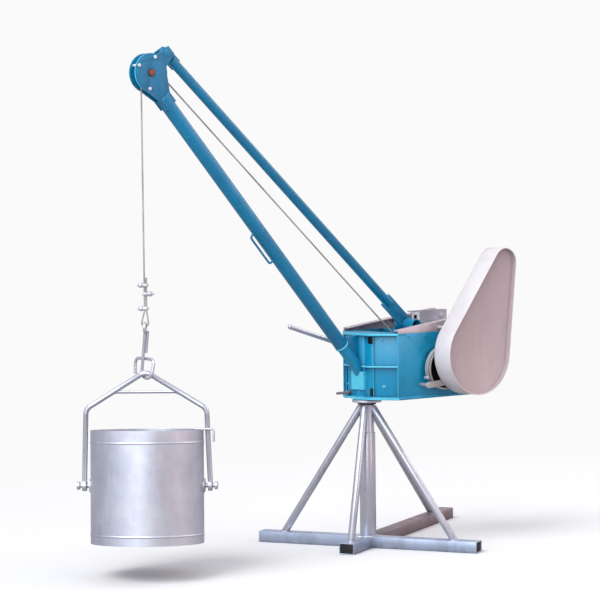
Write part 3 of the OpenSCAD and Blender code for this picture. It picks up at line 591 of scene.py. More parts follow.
@dataclass(frozen=True)
class MetalFinish:
    """Bare or plated steel, with brushing, dents, stains and rust."""

    name: str
    colour: Colour
    shade: Colour
    rust: Colour
    rough: float = 0.35
    metallic: float = 0.9
    rust_amount: float = 0.1
    grain: Point = (1.0, 1.0, 1.0)
    grain_scale: float = 160.0
    grain_depth: float = 0.15
    dents: float = 0.0
    grime_and_shade: float = 0.3

    def build(self) -> bpy.types.Material:
        """Returns the finished material."""
        material, s, shader = open_material(self.name)
        where = s.add("ShaderNodeTexCoord").outputs["Object"]
        grain = s.noise(s.stretched(where, self.grain), self.grain_scale, detail=4.0, rough=0.6)
        broad = s.noise(where, 8.0, detail=4.0, rough=0.6)
        base = s.mix(s.ramp(broad, 0.35, 0.65), self.colour, self.shade)
        base = s.mix(s.ramp(grain, 0.45, 0.75, 0.0, 0.35), base, self.shade)
        spots = s.noise(where, 26.0, detail=8.0, rough=0.7)
        spots = s.ramp(spots, 0.62 - self.rust_amount * 0.25, 0.74)
        spots = s.math("MULTIPLY", spots, min(1.0, self.rust_amount * 4), clamp=True)
        base = s.mix(spots, base, self.rust)
        # Dirt and painted shade: darker towards the bottom, in patches and in hollows.
        dirt_and_shade = EFFECTS.place(s, Effect.GRIME, Scale=14.0, Amount=self.grime_and_shade, Top=1.2)
        base = s.mix(dirt_and_shade.outputs["Mask"], base, paint_rgb(62, 58, 54))
        s.join(base, shader.inputs["Base Color"])
        rough = s.ramp(grain, 0.3, 0.7, self.rough - 0.06, self.rough + 0.1)
        rough = s.math("ADD", rough, s.math("MULTIPLY", spots, 0.4), clamp=True)
        s.join(rough, shader.inputs["Roughness"])
        dull = s.math("MULTIPLY", spots, self.metallic)
        s.join(s.math("SUBTRACT", self.metallic, dull, clamp=True), shader.inputs["Metallic"])
        bump = s.add("ShaderNodeBump")
        bump.inputs["Distance"].default_value = 0.0006
        bump.inputs["Strength"].default_value = self.grain_depth
        s.join(s.math("ADD", grain, s.math("MULTIPLY", spots, 0.8)), bump.inputs["Height"])
        if self.dents > 0:
            knocks = s.add("ShaderNodeBump")
            knocks.inputs["Distance"].default_value = 0.006
            knocks.inputs["Strength"].default_value = self.dents
            s.join(s.noise(where, 9.0, detail=2.0, rough=0.4), knocks.inputs["Height"])
            s.join(knocks.outputs["Normal"], bump.inputs["Normal"])
        s.join(bump.outputs["Normal"], shader.inputs["Normal"])
        return material


@dataclass(frozen=True)
class PlasticFinish:
    """Moulded plastic with a fine grain, dust and painted shade in its hollows."""

    name: str
    colour: Colour
    dust: Colour
    rough: float = 0.6

    def build(self) -> bpy.types.Material:
        """Returns the finished material."""
        material, s, shader = open_material(self.name)
        where = s.add("ShaderNodeTexCoord").outputs["Object"]
        dirt_and_shade = EFFECTS.place(s, Effect.GRIME, Scale=30.0, Amount=0.5, Top=0.2)
        s.join(s.mix(dirt_and_shade.outputs["Mask"], self.colour, self.dust), shader.inputs["Base Color"])
        grain = s.noise(where, 900.0, detail=2.0, rough=0.5)
        rough = s.ramp(grain, 0.3, 0.7, self.rough - 0.08, self.rough + 0.08)
        s.join(rough, shader.inputs["Roughness"])
        bump = s.add("ShaderNodeBump")
        bump.inputs["Distance"].default_value = 0.0003
        bump.inputs["Strength"].default_value = 0.3
        s.join(grain, bump.inputs["Height"])
        s.join(bump.outputs["Normal"], shader.inputs["Normal"])
        return material


@dataclass(frozen=True)
class FloorFinish:
    """A pale studio floor that fades into the backdrop away from the hoist."""

    name: str
    seen: Colour
    bounced: Colour
    glow: float

    def build(self) -> bpy.types.Material:
        """Returns the finished material."""
        material, s, shader = open_material(self.name)
        path = s.add("ShaderNodeLightPath")
        s.join(s.mix(path.outputs["Is Camera Ray"], self.bounced, self.seen),
               shader.inputs["Base Color"])
        shader.inputs["Roughness"].default_value = 0.9
        shader.inputs["Specular IOR Level"].default_value = 0.1
        where = s.add("ShaderNodeTexCoord").outputs["Object"]
        far = s.add("ShaderNodeVectorMath", operation="LENGTH")
        s.join(where, far.inputs[0])
        fade = s.ramp(far.outputs["Value"], 1.4, 3.4)
        shine = s.add("ShaderNodeEmission")
        shine.inputs["Color"].default_value = (self.glow, self.glow, self.glow, 1.0)
        blend = s.add("ShaderNodeMixShader")
        s.join(s.math("MULTIPLY", fade, path.outputs["Is Camera Ray"]), blend.inputs[0])
        s.join(shader.outputs[0], blend.inputs[1])
        s.join(shine.outputs[0], blend.inputs[2])
        end = next(n for n in s.tree.nodes if n.bl_idname == "ShaderNodeOutputMaterial")
        s.join(blend.outputs[0], end.inputs["Surface"])
        return material


class Coat(Enum):
    """Every finish on the hoist."""

    # This and the next colour are one teal paint: this darker copy goes on the tubes and small
    # parts, the next, lighter copy on the head's plates; the difference is painted light.
    BLUE = PaintFinish("teal_paint", paint_rgb(2, 130, 174), paint_rgb(2, 116, 160),
                       paint_rgb(124, 222, 240), paint_rgb(14, 66, 84), rough=0.33,
                       coat=0.12, grime_and_shade=0.55, grime_and_shade_top=1.1, runs=0.16, scuffs=0.12, skin=0.1)
    BLUE_PLATE = PaintFinish("teal_paint_lit_copy", paint_rgb(6, 154, 196), paint_rgb(4, 138, 181),
                             paint_rgb(124, 222, 240), paint_rgb(14, 66, 84), rough=0.31,
                             coat=0.2, grime_and_shade=0.55, grime_and_shade_top=1.1, runs=0.16, scuffs=0.12, skin=0.1)
    # A paler, glossier copy of the teal paint for the panel bolts: painted highlight.
    BLUE_PALE = PaintFinish("teal_paint_highlight_copy", paint_rgb(44, 176, 210), paint_rgb(28, 158, 196),
                            paint_rgb(150, 232, 244), paint_rgb(18, 84, 104), rough=0.25,
                            coat=0.5, grime_and_shade=0.5, grime_and_shade_top=1.1, runs=0.16, scuffs=0.12, skin=0.1)
    # A light teal for edges, the jib's saddle and lip and the near cheek's front: painted
    # highlight.
    BLUE_EDGE = PaintFinish("teal_painted_highlight", paint_rgb(96, 210, 234), paint_rgb(66, 192, 222),
                            paint_rgb(170, 238, 248), paint_rgb(26, 110, 134), rough=0.3,
                            coat=0.4, grime_and_shade=0.3, grime_and_shade_top=0.8, runs=0.1, scuffs=0.2, skin=0.1)
    # A darker, pinker copy of the silver paint: on the far rear arm it is painted shade and pink
    # reflection as well as dust; it also dulls the lock screw and the motor bracket's top.
    DUSTY = PaintFinish("dusty_shaded_silver_paint", paint_rgb(160, 145, 149), paint_rgb(142, 128, 132),
                        paint_rgb(204, 196, 202), paint_rgb(84, 70, 70), rough=0.42,
                        metallic=0.5, grime_and_shade=0.6, grime_and_shade_top=0.3, runs=0.3, scuffs=0.3)
    # A bluer, darker copy of the silver paint for the floor tubes: painted shade for the
    # steel-blue look of their sides.
    FLOOR_TUBE = PaintFinish("silver_paint_blue_shade_copy", paint_rgb(192, 205, 226),
                             paint_rgb(172, 186, 210), paint_rgb(206, 214, 228),
                             paint_rgb(78, 74, 80), rough=0.32, metallic=0.62, grime_and_shade=0.55,
                             grime_and_shade_top=0.16, runs=0.2, scuffs=0.25)
    SILVER = PaintFinish("silver_tube_paint", paint_rgb(212, 214, 222), paint_rgb(197, 200, 211),
                         paint_rgb(208, 212, 224), paint_rgb(80, 74, 78), rough=0.3,
                         metallic=0.66, grime_and_shade=0.55, grime_and_shade_top=0.16, runs=0.22, scuffs=0.22)
    # Its dirt and shade mask makes the guard greyer towards the bottom: painted shade below its
    # lit top.
    GUARD_RIM = PaintFinish("guard_white_paint", paint_rgb(221, 216, 218),
                            paint_rgb(210, 205, 208), paint_rgb(242, 241, 244),
                            paint_rgb(150, 142, 142), rough=0.38, coat=0.15, grime_and_shade=0.6,
                            grime_and_shade_top=1.0, runs=0.18, scuffs=0.1)
    # The guard's white paint made darker and pinker for its sunken face and back: painted shade.
    GUARD_FACE = PaintFinish("guard_paint_shaded_copy", paint_rgb(192, 176, 178),
                             paint_rgb(184, 168, 172), paint_rgb(218, 208, 210),
                             paint_rgb(132, 116, 116), rough=0.42, metallic=0.1, grime_and_shade=0.3,
                             grime_and_shade_top=1.0, runs=0.2, scuffs=0.1)
    RAIL = PaintFinish("frame_grey_paint", paint_rgb(204, 188, 192), paint_rgb(186, 172, 180),
                       paint_rgb(228, 222, 226), paint_rgb(96, 78, 74), rough=0.42,
                       metallic=0.3, grime_and_shade=0.6, grime_and_shade_top=1.3, runs=0.3, scuffs=0.3)
    BUCKET = MetalFinish("bucket_steel", paint_rgb(220, 224, 233), paint_rgb(204, 208, 220),
                         paint_rgb(150, 128, 120), rough=0.46, metallic=0.86,
                         rust_amount=0.01, grain=(1.0, 1.0, 0.12), grain_scale=60.0,
                         grain_depth=0.03, dents=0.16, grime_and_shade=0.2)
    ZINC = MetalFinish("zinc_plate", paint_rgb(222, 222, 230), paint_rgb(196, 198, 208),
                       paint_rgb(120, 88, 70), rough=0.3, metallic=0.6, rust_amount=0.02,
                       grime_and_shade=0.2)
    WHITE_NUT = PaintFinish("white_touch_paint", paint_rgb(236, 238, 240),
                            paint_rgb(222, 224, 228), paint_rgb(250, 250, 250),
                            paint_rgb(120, 120, 120), rough=0.4, grime_and_shade=0.3)
    BAND = MetalFinish("brake_band_steel", paint_rgb(214, 209, 207), paint_rgb(178, 172, 172),
                       paint_rgb(120, 84, 62), rough=0.36, metallic=0.5, rust_amount=0.06,
                       grime_and_shade=0.5)
    LINING = PlasticFinish("brake_lining", paint_rgb(70, 54, 44), paint_rgb(96, 84, 74), rough=0.8)
    STEEL = MetalFinish("worked_steel", paint_rgb(140, 138, 138), paint_rgb(100, 98, 98),
                        paint_rgb(104, 66, 44), rough=0.34, metallic=0.85, rust_amount=0.12)
    DARK = MetalFinish("oiled_steel", paint_rgb(58, 56, 56), paint_rgb(38, 37, 38),
                       paint_rgb(80, 50, 36), rough=0.42, metallic=0.7, rust_amount=0.12)
    RUSTED = MetalFinish("rusted_axle", paint_rgb(172, 84, 70), paint_rgb(128, 60, 48),
                         paint_rgb(92, 42, 28), rough=0.6, metallic=0.1, rust_amount=0.3)
    ROPE = MetalFinish("stranded_wire", paint_rgb(196, 193, 191), paint_rgb(152, 149, 148),
                       paint_rgb(118, 98, 80), rough=0.4, metallic=0.3, rust_amount=0.04,
                       grime_and_shade=0.12)
    PLUG = PlasticFinish("plug_plastic", paint_rgb(20, 20, 22), paint_rgb(70, 66, 62))

    @property
    def material(self) -> bpy.types.Material:
        """The finish's material, built the first time it is asked for."""
        found = bpy.data.materials.get(self.value.name)
        return found if found else self.value.build()


# ------------------------------------------------------------------ shaping

CORNER = 32.0  # smallest corner that is rounded, in degrees
RIM_BEND = 1.2  # a prism's ends bend more than this and its sides less, in radians
FLAT = math.radians(0.4)  # faces of a node that bend less than this are merged
SEAM = 2e-6  # points of a node that are closer than this are one, in metres

ROPE_LAY = 40.0  # length of one turn of the strands
ROPE_STEP = 4.0  # distance between the sections of a rope
STRAND_SWELL = 0.16  # how far a strand stands out, as a share of the rope's radius
STRAND_SMOOTH = 70.0  # angle below which a rope's faces are shaded as one, in degrees


def body_of_node(node: str) -> str:
    """Name of the body that a frame node belongs to."""
    parent = frame["nodes"][node].parent
    for name, empty in frame["bodies"].items():
        if empty is parent:
            return name
    raise KeyError(node)


def edges_of(verts: Iterable[bmesh.types.BMVert]) -> List[bmesh.types.BMEdge]:
    """Edges that touch some vertices, each once and in a fixed order."""
    return list(dict.fromkeys(e for v in verts for e in v.link_edges))


def round_edges(bm: bmesh.types.BMesh, edges: List[bmesh.types.BMEdge], width: float) -> None:
    """Rounds some edges with two faces each.

    Args:
        bm: The mesh.
        edges: The edges.
        width: Width of the round.
    """
    bmesh.ops.bevel(bm, geom=edges, offset=width, offset_type="OFFSET", segments=2,
                    profile=0.5, affect="EDGES", material=-1, clamp_overlap=True)


def round_corners(bm: bmesh.types.BMesh, width: float) -> None:
    """Rounds every corner sharper than CORNER.

    Args:
        bm: The mesh.
        width: Width of the round.
    """
    limit = math.radians(CORNER)
    edges = [e for e in bm.edges if len(e.link_faces) == 2 and e.calc_face_angle(0.0) > limit]
    if edges:
        round_edges(bm, edges, width)


class Maker:
    """One mesh in the making, in a sub-assembly's own axes and millimetres."""

    def __init__(self, axes: Matrix) -> None:
        """Starts an empty mesh.

        Args:
            axes: The sub-assembly's axes.
        """
        self.axes = axes
        self.bm = bmesh.new()
        self.accents: List[Coat] = []

    @staticmethod
    def _frame(at: Point, along: Point) -> Matrix:
        """Axes at a point whose Z runs along a direction."""
        turn = Vector(along).normalized().to_track_quat("Z", "Y").to_matrix().to_4x4()
        return Matrix.Translation(at) @ turn

    def block(self, low: Point, high: Point) -> "Maker":
        """Adds a sharp box.

        Args:
            low: Lowest corner.
            high: Highest corner.

        Returns:
            The maker.
        """
        size = [b - a for a, b in zip(low, high)]
        mid = [(a + b) / 2 for a, b in zip(low, high)]
        place = Matrix.Translation(mid) @ Matrix.Diagonal((*size, 1.0))
        bmesh.ops.create_cube(self.bm, size=1.0, matrix=place)
        return self

    def disc(self, at: Point, along: Point, r: float, depth: float, sides: int,
             round_by: float) -> "Maker":
        """Adds a cylinder or a prism.

        Args:
            at: Middle of its first end.
            along: Direction it runs in.
            r: Radius.
            depth: Length.
            sides: Number of sides.
            round_by: Radius of the round at its ends.

        Returns:
            The maker.
        """
        place = self._frame(at, along) @ Matrix.Translation((0, 0, depth / 2))
        made = bmesh.ops.create_cone(self.bm, cap_ends=True, cap_tris=False, segments=sides,
                                     radius1=r, radius2=r, depth=depth, matrix=place)
        if round_by > 0:
            rims = [e for e in edges_of(made["verts"]) if e.calc_face_angle(0.0) > RIM_BEND]
            round_edges(self.bm, rims, round_by)
        return self

    def bolt(self, at: Point, along: Point, r: float, tall: float, washer: float,
             stud: float) -> "Maker":
        """Adds a washer, a hexagon head and the end of a stud.

        Args:
            at: Point on the surface that it clamps.
            along: Outward direction.
            r: Radius over the hexagon's corners.
            tall: Height of the hexagon.
            washer: Thickness of the washer.
            stud: How far the stud shows past the hexagon.

        Returns:
            The maker.
        """
        way = Vector(along).normalized()
        base = Vector(at)
        self.disc(base, way, r * 1.45, washer, sides=24, round_by=0.4)
        self.disc(base + way * washer, way, r, tall, sides=6, round_by=0.5)
        if stud > 0:
            self.disc(base + way * (washer + tall), way, r * 0.52, stud, sides=16, round_by=0.5)
        return self

    def lathe(self, profile: Sequence[Tuple[float, float]], at: Point = (0, 0, 0),
              along: Point = (0, 0, 1), steps: int = 64, closed: bool = True) -> "Maker":
        """Turns an outline about an axis.

        Args:
            profile: Radius and height of each point in turn.
            at: A point on the axis.
            along: The axis.
            steps: Number of steps in a turn.
            closed: Whether the outline's ends are joined.

        Returns:
            The maker.
        """
        place = self._frame(at, along)
        verts = [self.bm.verts.new(place @ Vector((r, 0, z))) for r, z in profile]
        pairs = list(zip(verts, verts[1:]))
        if closed:
            pairs.append((verts[-1], verts[0]))
        edges = [self.bm.edges.new(pair) for pair in pairs]
        axis = (place.to_3x3() @ Vector((0, 0, 1))).normalized()
        before = set(self.bm.faces)
        bmesh.ops.spin(self.bm, geom=verts + edges, cent=Vector(at), axis=axis, dvec=(0, 0, 0),
                       angle=2 * math.pi, steps=steps, use_merge=True, use_duplicate=False)
        bmesh.ops.remove_doubles(self.bm, verts=self.bm.verts, dist=0.001)
        fresh = [f for f in self.bm.faces if f not in before]
        bmesh.ops.recalc_face_normals(self.bm, faces=fresh)
        return self

    def washer(self, at: Point, along: Point, bore: float, r: float, thick: float,
               steps: int) -> "Maker":
        """Adds a flat washer with a broken outer edge.

        Args:
            at: Middle of the face that it lies on.
            along: Outward direction.
            bore: Radius of its hole.
            r: Outer radius.
            thick: Thickness.
            steps: Steps round it.

        Returns:
            The maker.
        """
        return self.lathe([(bore, 0.0), (r, 0.0), (r, thick * 2 / 3), (r - 0.7, thick),
                           (bore, thick)], at, along, steps)

    def arc_strip(self, at: Vector, inner: float, outer: float, low: float, high: float,
                  start: float, end: float, steps: int) -> "Maker":
        """Adds a bent flat bar that curves about an axis along Y.

        Args:
            at: The axis in X and Z.
            inner: Inner radius.
            outer: Outer radius.
            low: Y of one side.
            high: Y of the other side.
            start: First angle in degrees.
            end: Last angle in degrees.
            steps: Number of steps along it.

        Returns:
            The maker.
        """
        c, s = math.cos(math.radians(start)), math.sin(math.radians(start))
        corners = [(inner, low), (outer, low), (outer, high), (inner, high)]
        verts = [self.bm.verts.new((at.x + r * c, y, at.y + r * s)) for r, y in corners]
        first = self.bm.faces.new(verts)
        bmesh.ops.spin(self.bm, geom=[first], cent=(at.x, 0, at.y), axis=(0, -1, 0),
                       dvec=(0, 0, 0), angle=math.radians(end - start), steps=steps,
                       use_merge=False, use_duplicate=False)
        bmesh.ops.recalc_face_normals(self.bm, faces=self.bm.faces)
        return self

    def sweep(self, path: Sequence[Vector], r: float, sides: int, lobes: int = 0,
              lay: float = 0.0, ripple: float = 0.0, closed: bool = False) -> "Maker":
        """Runs a round or stranded section along a path.

        Args:
            path: Points of the centre line.
            r: Radius of the section.
            sides: Corners of the section.
            lobes: Number of strands that show, or 0 for a round rod.
            lay: Length of one full turn of the strands.
            ripple: Share by which the radius swells and shrinks, as on a weld.
            closed: Whether the path comes back to its start.

        Returns:
            The maker.
        """
        points = [Vector(p) for p in path]
        count = len(points)
        made = bmesh.ops.create_circle(self.bm, cap_ends=False, segments=sides, radius=1.0)
        ring = made["verts"]
        for v in ring:
            grow = 1.0
            if lobes:
                wave = abs(math.cos(math.atan2(v.co.y, v.co.x) * lobes / 2))
                grow = 1 - STRAND_SWELL + STRAND_SWELL * wave
            v.co *= grow
        flat = [v.co.copy() for v in ring]

        def tangent(i: int) -> Vector:
            """Direction of the path at a point."""
            if closed:
                return (points[(i + 1) % count] - points[i - 1]).normalized()
            return (points[min(i + 1, count - 1)] - points[max(i - 1, 0)]).normalized()

        way = tangent(0)
        side = way.orthogonal().normalized()
        run = 0.0
        rings: List[List[bmesh.types.BMVert]] = []
        for i in range(count):
            new_way = tangent(i)
            side = (way.rotation_difference(new_way) @ side).normalized()
            way = new_way
            if i > 0:
                run += (points[i] - points[i - 1]).length
                edges = [e for e in edges_of(ring) if all(w in ring for w in e.verts)]
                made = bmesh.ops.extrude_edge_only(self.bm, edges=edges)
                fresh = {e for e in made["geom"] if isinstance(e, bmesh.types.BMVert)}
                ring = [next(e.other_vert(v) for e in v.link_edges if e.other_vert(v) in fresh)
                        for v in ring]
            twist = 2 * math.pi * run / lay if lay else 0.0
            across = way.cross(side)
            size = r * (1 + ripple * math.sin(run / max(r, 0.1) * 2.1 + 0.7 * math.sin(run)))
            for v, f in zip(ring, flat):
                c, s = math.cos(twist), math.sin(twist)
                a, b = f.x * c - f.y * s, f.x * s + f.y * c
                v.co = points[i] + (side * a + across * b) * size
            rings.append(list(ring))
        if closed:
            ends = [e for loop in (rings[0], rings[-1]) for e in edges_of(loop)
                    if all(w in loop for w in e.verts)]
            bmesh.ops.bridge_loops(self.bm, edges=ends)
        else:
            for loop in (rings[0], rings[-1]):
                self.bm.faces.new(loop)
        faces = list(dict.fromkeys(f for loop in rings for v in loop for f in v.link_faces))
        bmesh.ops.recalc_face_normals(self.bm, faces=faces)
        return self

    def rope(self, path: Sequence[Vector]) -> "Maker":
        """Lays the six-stranded wire rope along a path.

        Args:
            path: Points of its centre line.

        Returns:
            The maker.
        """
        return self.sweep(path, PLAN.rope_r, sides=24, lobes=6, lay=ROPE_LAY)

    def weld(self, path: Sequence[Point], r: float, closed: bool = False) -> "Maker":
        """Lays a rippled weld bead along straight or curved runs.

        Args:
            path: Corners of the bead.
            r: Its radius.
            closed: Whether it comes back to its start.

        Returns:
            The maker.
        """
        corners = [Vector(p) for p in path]
        if closed:
            corners.append(corners[0])
        points: List[Vector] = []
        for a, b in zip(corners, corners[1:]):
            steps = max(1, int((b - a).length / (r * 0.55)))
            points += [a.lerp(b, i / steps) for i in range(steps)]
        if not closed:
            points.append(corners[-1])
        return self.sweep(points, r, sides=8, ripple=0.14, closed=closed)

    def take_node(self, node: str, round_by: float) -> "Maker":
        """Adds a copy of a frame node with its seams closed and its corners rounded.

        Args:
            node: The node's name.
            round_by: Radius of the corners, or 0 to keep them sharp.

        Returns:
            The maker.
        """
        copy = bmesh.new()
        copy.from_mesh(frame["nodes"][node].data)
        bmesh.ops.remove_doubles(copy, verts=copy.verts, dist=SEAM)
        bmesh.ops.transform(copy, matrix=self.axes.inverted(), verts=copy.verts)
        bmesh.ops.dissolve_limit(copy, angle_limit=FLAT, verts=copy.verts,
                                 edges=copy.edges, delimit={"NORMAL"})
        if round_by > 0:
            round_corners(copy, round_by)
        spare = bpy.data.meshes.new("spare")
        copy.to_mesh(spare)
        copy.free()
        self.bm.from_mesh(spare)
        bpy.data.meshes.remove(spare)
        return self

    def tint(self, coat: Coat, inside: Callable[[Vector, Vector], bool]) -> "Maker":
        """Gives some faces another finish.

        Args:
            coat: Their finish.
            inside: Says from a face's middle and normal whether it is one of them.

        Returns:
            The maker.
        """
        self.accents.append(coat)
        index = len(self.accents)
        for face in self.bm.faces:
            face.normal_update()
            if inside(face.calc_center_median(), face.normal):
                face.material_index = index
        return self

    def finish(self, name: str, body: str, coat: Coat, replaces: Iterable[str] = (),
               slot: Optional[str] = None, smooth: float = 38.0) -> bpy.types.Object:
        """Makes the mesh a piece of the hoist.

        Args:
            name: The piece's name.
            body: The body that it moves with.
            coat: Its finish.
            replaces: Frame nodes that it stands for.
            slot: The record's material slot; not used.
            smooth: Angle below which faces are shaded as one, in degrees.

        Returns:
            The piece.
        """
        obj = self.loose(name, coat, smooth)
        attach(obj, body)
        nodes = list(replaces)
        if nodes:
            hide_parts(*nodes)
        return obj

    def loose(self, name: str, coat: Coat, smooth: float) -> bpy.types.Object:
        """Makes the mesh an object that rides on nothing yet.

        Args:
            name: The object's name.
            coat: Its finish.
            smooth: Angle below which faces are shaded as one, in degrees.

        Returns:
            The object.
        """
        bmesh.ops.transform(self.bm, matrix=self.axes, verts=self.bm.verts)
        mesh = bpy.data.meshes.new(name)
        self.bm.to_mesh(mesh)
        self.bm.free()
        carried = mesh.attributes.get("custom_normal")
        if carried:
            mesh.attributes.remove(carried)
        mesh.shade_smooth()
        mesh.set_sharp_from_angle(angle=math.radians(smooth))
        obj = bpy.data.objects.new(name, mesh)
        bpy.context.scene.collection.objects.link(obj)
        for one in (coat, *self.accents):
            mesh.materials.append(one.material)
        log.info("%s: %d faces", name, len(mesh.polygons))
        return obj


def skin(node: str, coat: Coat, slot: str, round_by: float) -> bpy.types.Object:
    """Replaces a frame node by its rounded and painted copy.

    Args:
        node: The node.
        coat: Its finish.
        slot: The record's material slot.
        round_by: Radius of its corners in millimetres.

    Returns:
        The piece.
    """
    return Maker(PLAN.row).take_node(node, round_by).finish(
        node + "_skin", body_of_node(node), coat, [node], slot)


def arc_xz(centre: Vector, r: float, start: float, end: float, steps: int) -> List[Vector]:
    """Points of an arc in the X-Z plane.

    Args:
        centre: Its centre as X and Z.
        r: Its radius.
        start: First angle in degrees.
        end: Last angle in degrees.
        steps: Number of steps.

    Returns:
        The points, first to last.
    """
    out = []
    for i in range(steps + 1):
        a = math.radians(start + (end - start) * i / steps)
        out.append(Vector((centre.x + r * math.cos(a), 0, centre.y + r * math.sin(a))))
    return out


def line_points(a: Vector, b: Vector, pitch: float) -> List[Vector]:
    """Points evenly along a line, both ends included."""
    steps = max(1, round((b - a).length / pitch))
    return [a.lerp(b, i / steps) for i in range(steps + 1)]


def ellipse(centre: Point, long_r: float, wide_r: float, turn: float = 0.0,
            steps: int = 40) -> List[Vector]:
    """Points of a level ellipse.

    Args:
        centre: Its centre.
        long_r: Half its length.
        wide_r: Half its width.
        turn: Direction of its length from +X, in degrees.
        steps: Number of points.

    Returns:
        The points.
    """
    spin = Matrix.Rotation(math.radians(turn), 3, "Z")
    out = []
    for i in range(steps):
        a = 2 * math.pi * i / steps
        out.append(Vector(centre) + spin @ Vector((long_r * math.cos(a), wide_r * math.sin(a), 0)))
    return out


# -------------------------------------------------------------- the machine

@dataclass
class BaseStand:
    """The cross of floor tubes, the post and its four braces."""

    foot_bead: float = 2.6
    brace_bead: float = 2.2
    arm_bead: float = 2.0
    step_bead: float = 1.7
    brace_r: float = 13.5
    brace_top_r: float = 20.0
    brace_drop: float = 4.0
    brace_feet: Tuple[Tuple[float, float], ...] = ((180, 340), (0, 340), (-90, 165), (90, 656))
    collar_r: float = 34.4
    collar_h: float = 8.4

    def tubes(self) -> None:
        """Paints the tubes, post and braces."""
        for node in ("cross_arm", "front_arm_tube"):
            skin(node, Coat.FLOOR_TUBE, "silver_paint", round_by=2.2)
        # The far rear arm takes the darker, pinker copy: painted shade and reflection with dust.
        skin("rear_arm_tube", Coat.DUSTY, "silver_paint", round_by=2.2)
        for node in ("post", "brace_left", "brace_right", "brace_front", "brace_rear"):
            skin(node, Coat.SILVER, "silver_paint", round_by=0.6)
        skin("arm_plugs", Coat.PLUG, "black_plastic", round_by=1.0)

    def welds(self) -> None:
        """Lays the beads where tubes meet."""
        m = Maker(PLAN.row)
        top = PLAN.arm_h
        half = PLAN.arm_w / 2
        low_r, high_r = PLAN.post_r + 1, PLAN.post_upper_r + 1.2
        m.weld(ellipse((0, 0, top + 0.6), low_r, low_r, steps=90), self.foot_bead, closed=True)
        for angle, foot in self.brace_feet:
            run = foot - self.brace_top_r
            rise = PLAN.post_top_z - self.brace_drop - top
            long_r = self.brace_r * math.hypot(run, rise) / rise
            a = math.radians(angle)
            centre = (foot * math.cos(a), foot * math.sin(a), top + 0.5)
            m.weld(ellipse(centre, long_r + 1, self.brace_r + 1, angle), self.brace_bead,
                   closed=True)
        for side in (-1, 1):
            y = side * (half + 0.3)
            m.weld([(-half, y, 3), (-half, y, top), (half, y, top), (half, y, 3)], self.arm_bead)
        m.weld(ellipse((0, 0, PLAN.post_step_z + 0.5), high_r, high_r, steps=80),
               self.step_bead, closed=True)
        m.finish("base_weld_beads", "base", Coat.SILVER, slot="silver_paint")

    def seat(self) -> None:
        """Paints the slewing seat and rings the post's top with a dark collar."""
        skin("slew_seat", Coat.ZINC, "silver_paint", round_by=0.8)
        m = Maker(PLAN.row)
        r = self.collar_r
        low = PLAN.post_top_z + 0.2
        high = low + self.collar_h
        m.lathe([(r - 1, low), (r, low + 1), (r, high - 1), (r - 1, high)])
        m.finish("seat_collar_ring", "base", Coat.DARK)

    def build(self) -> None:
        """Builds the whole base."""
        self.tubes()
        self.welds()
        self.seat()


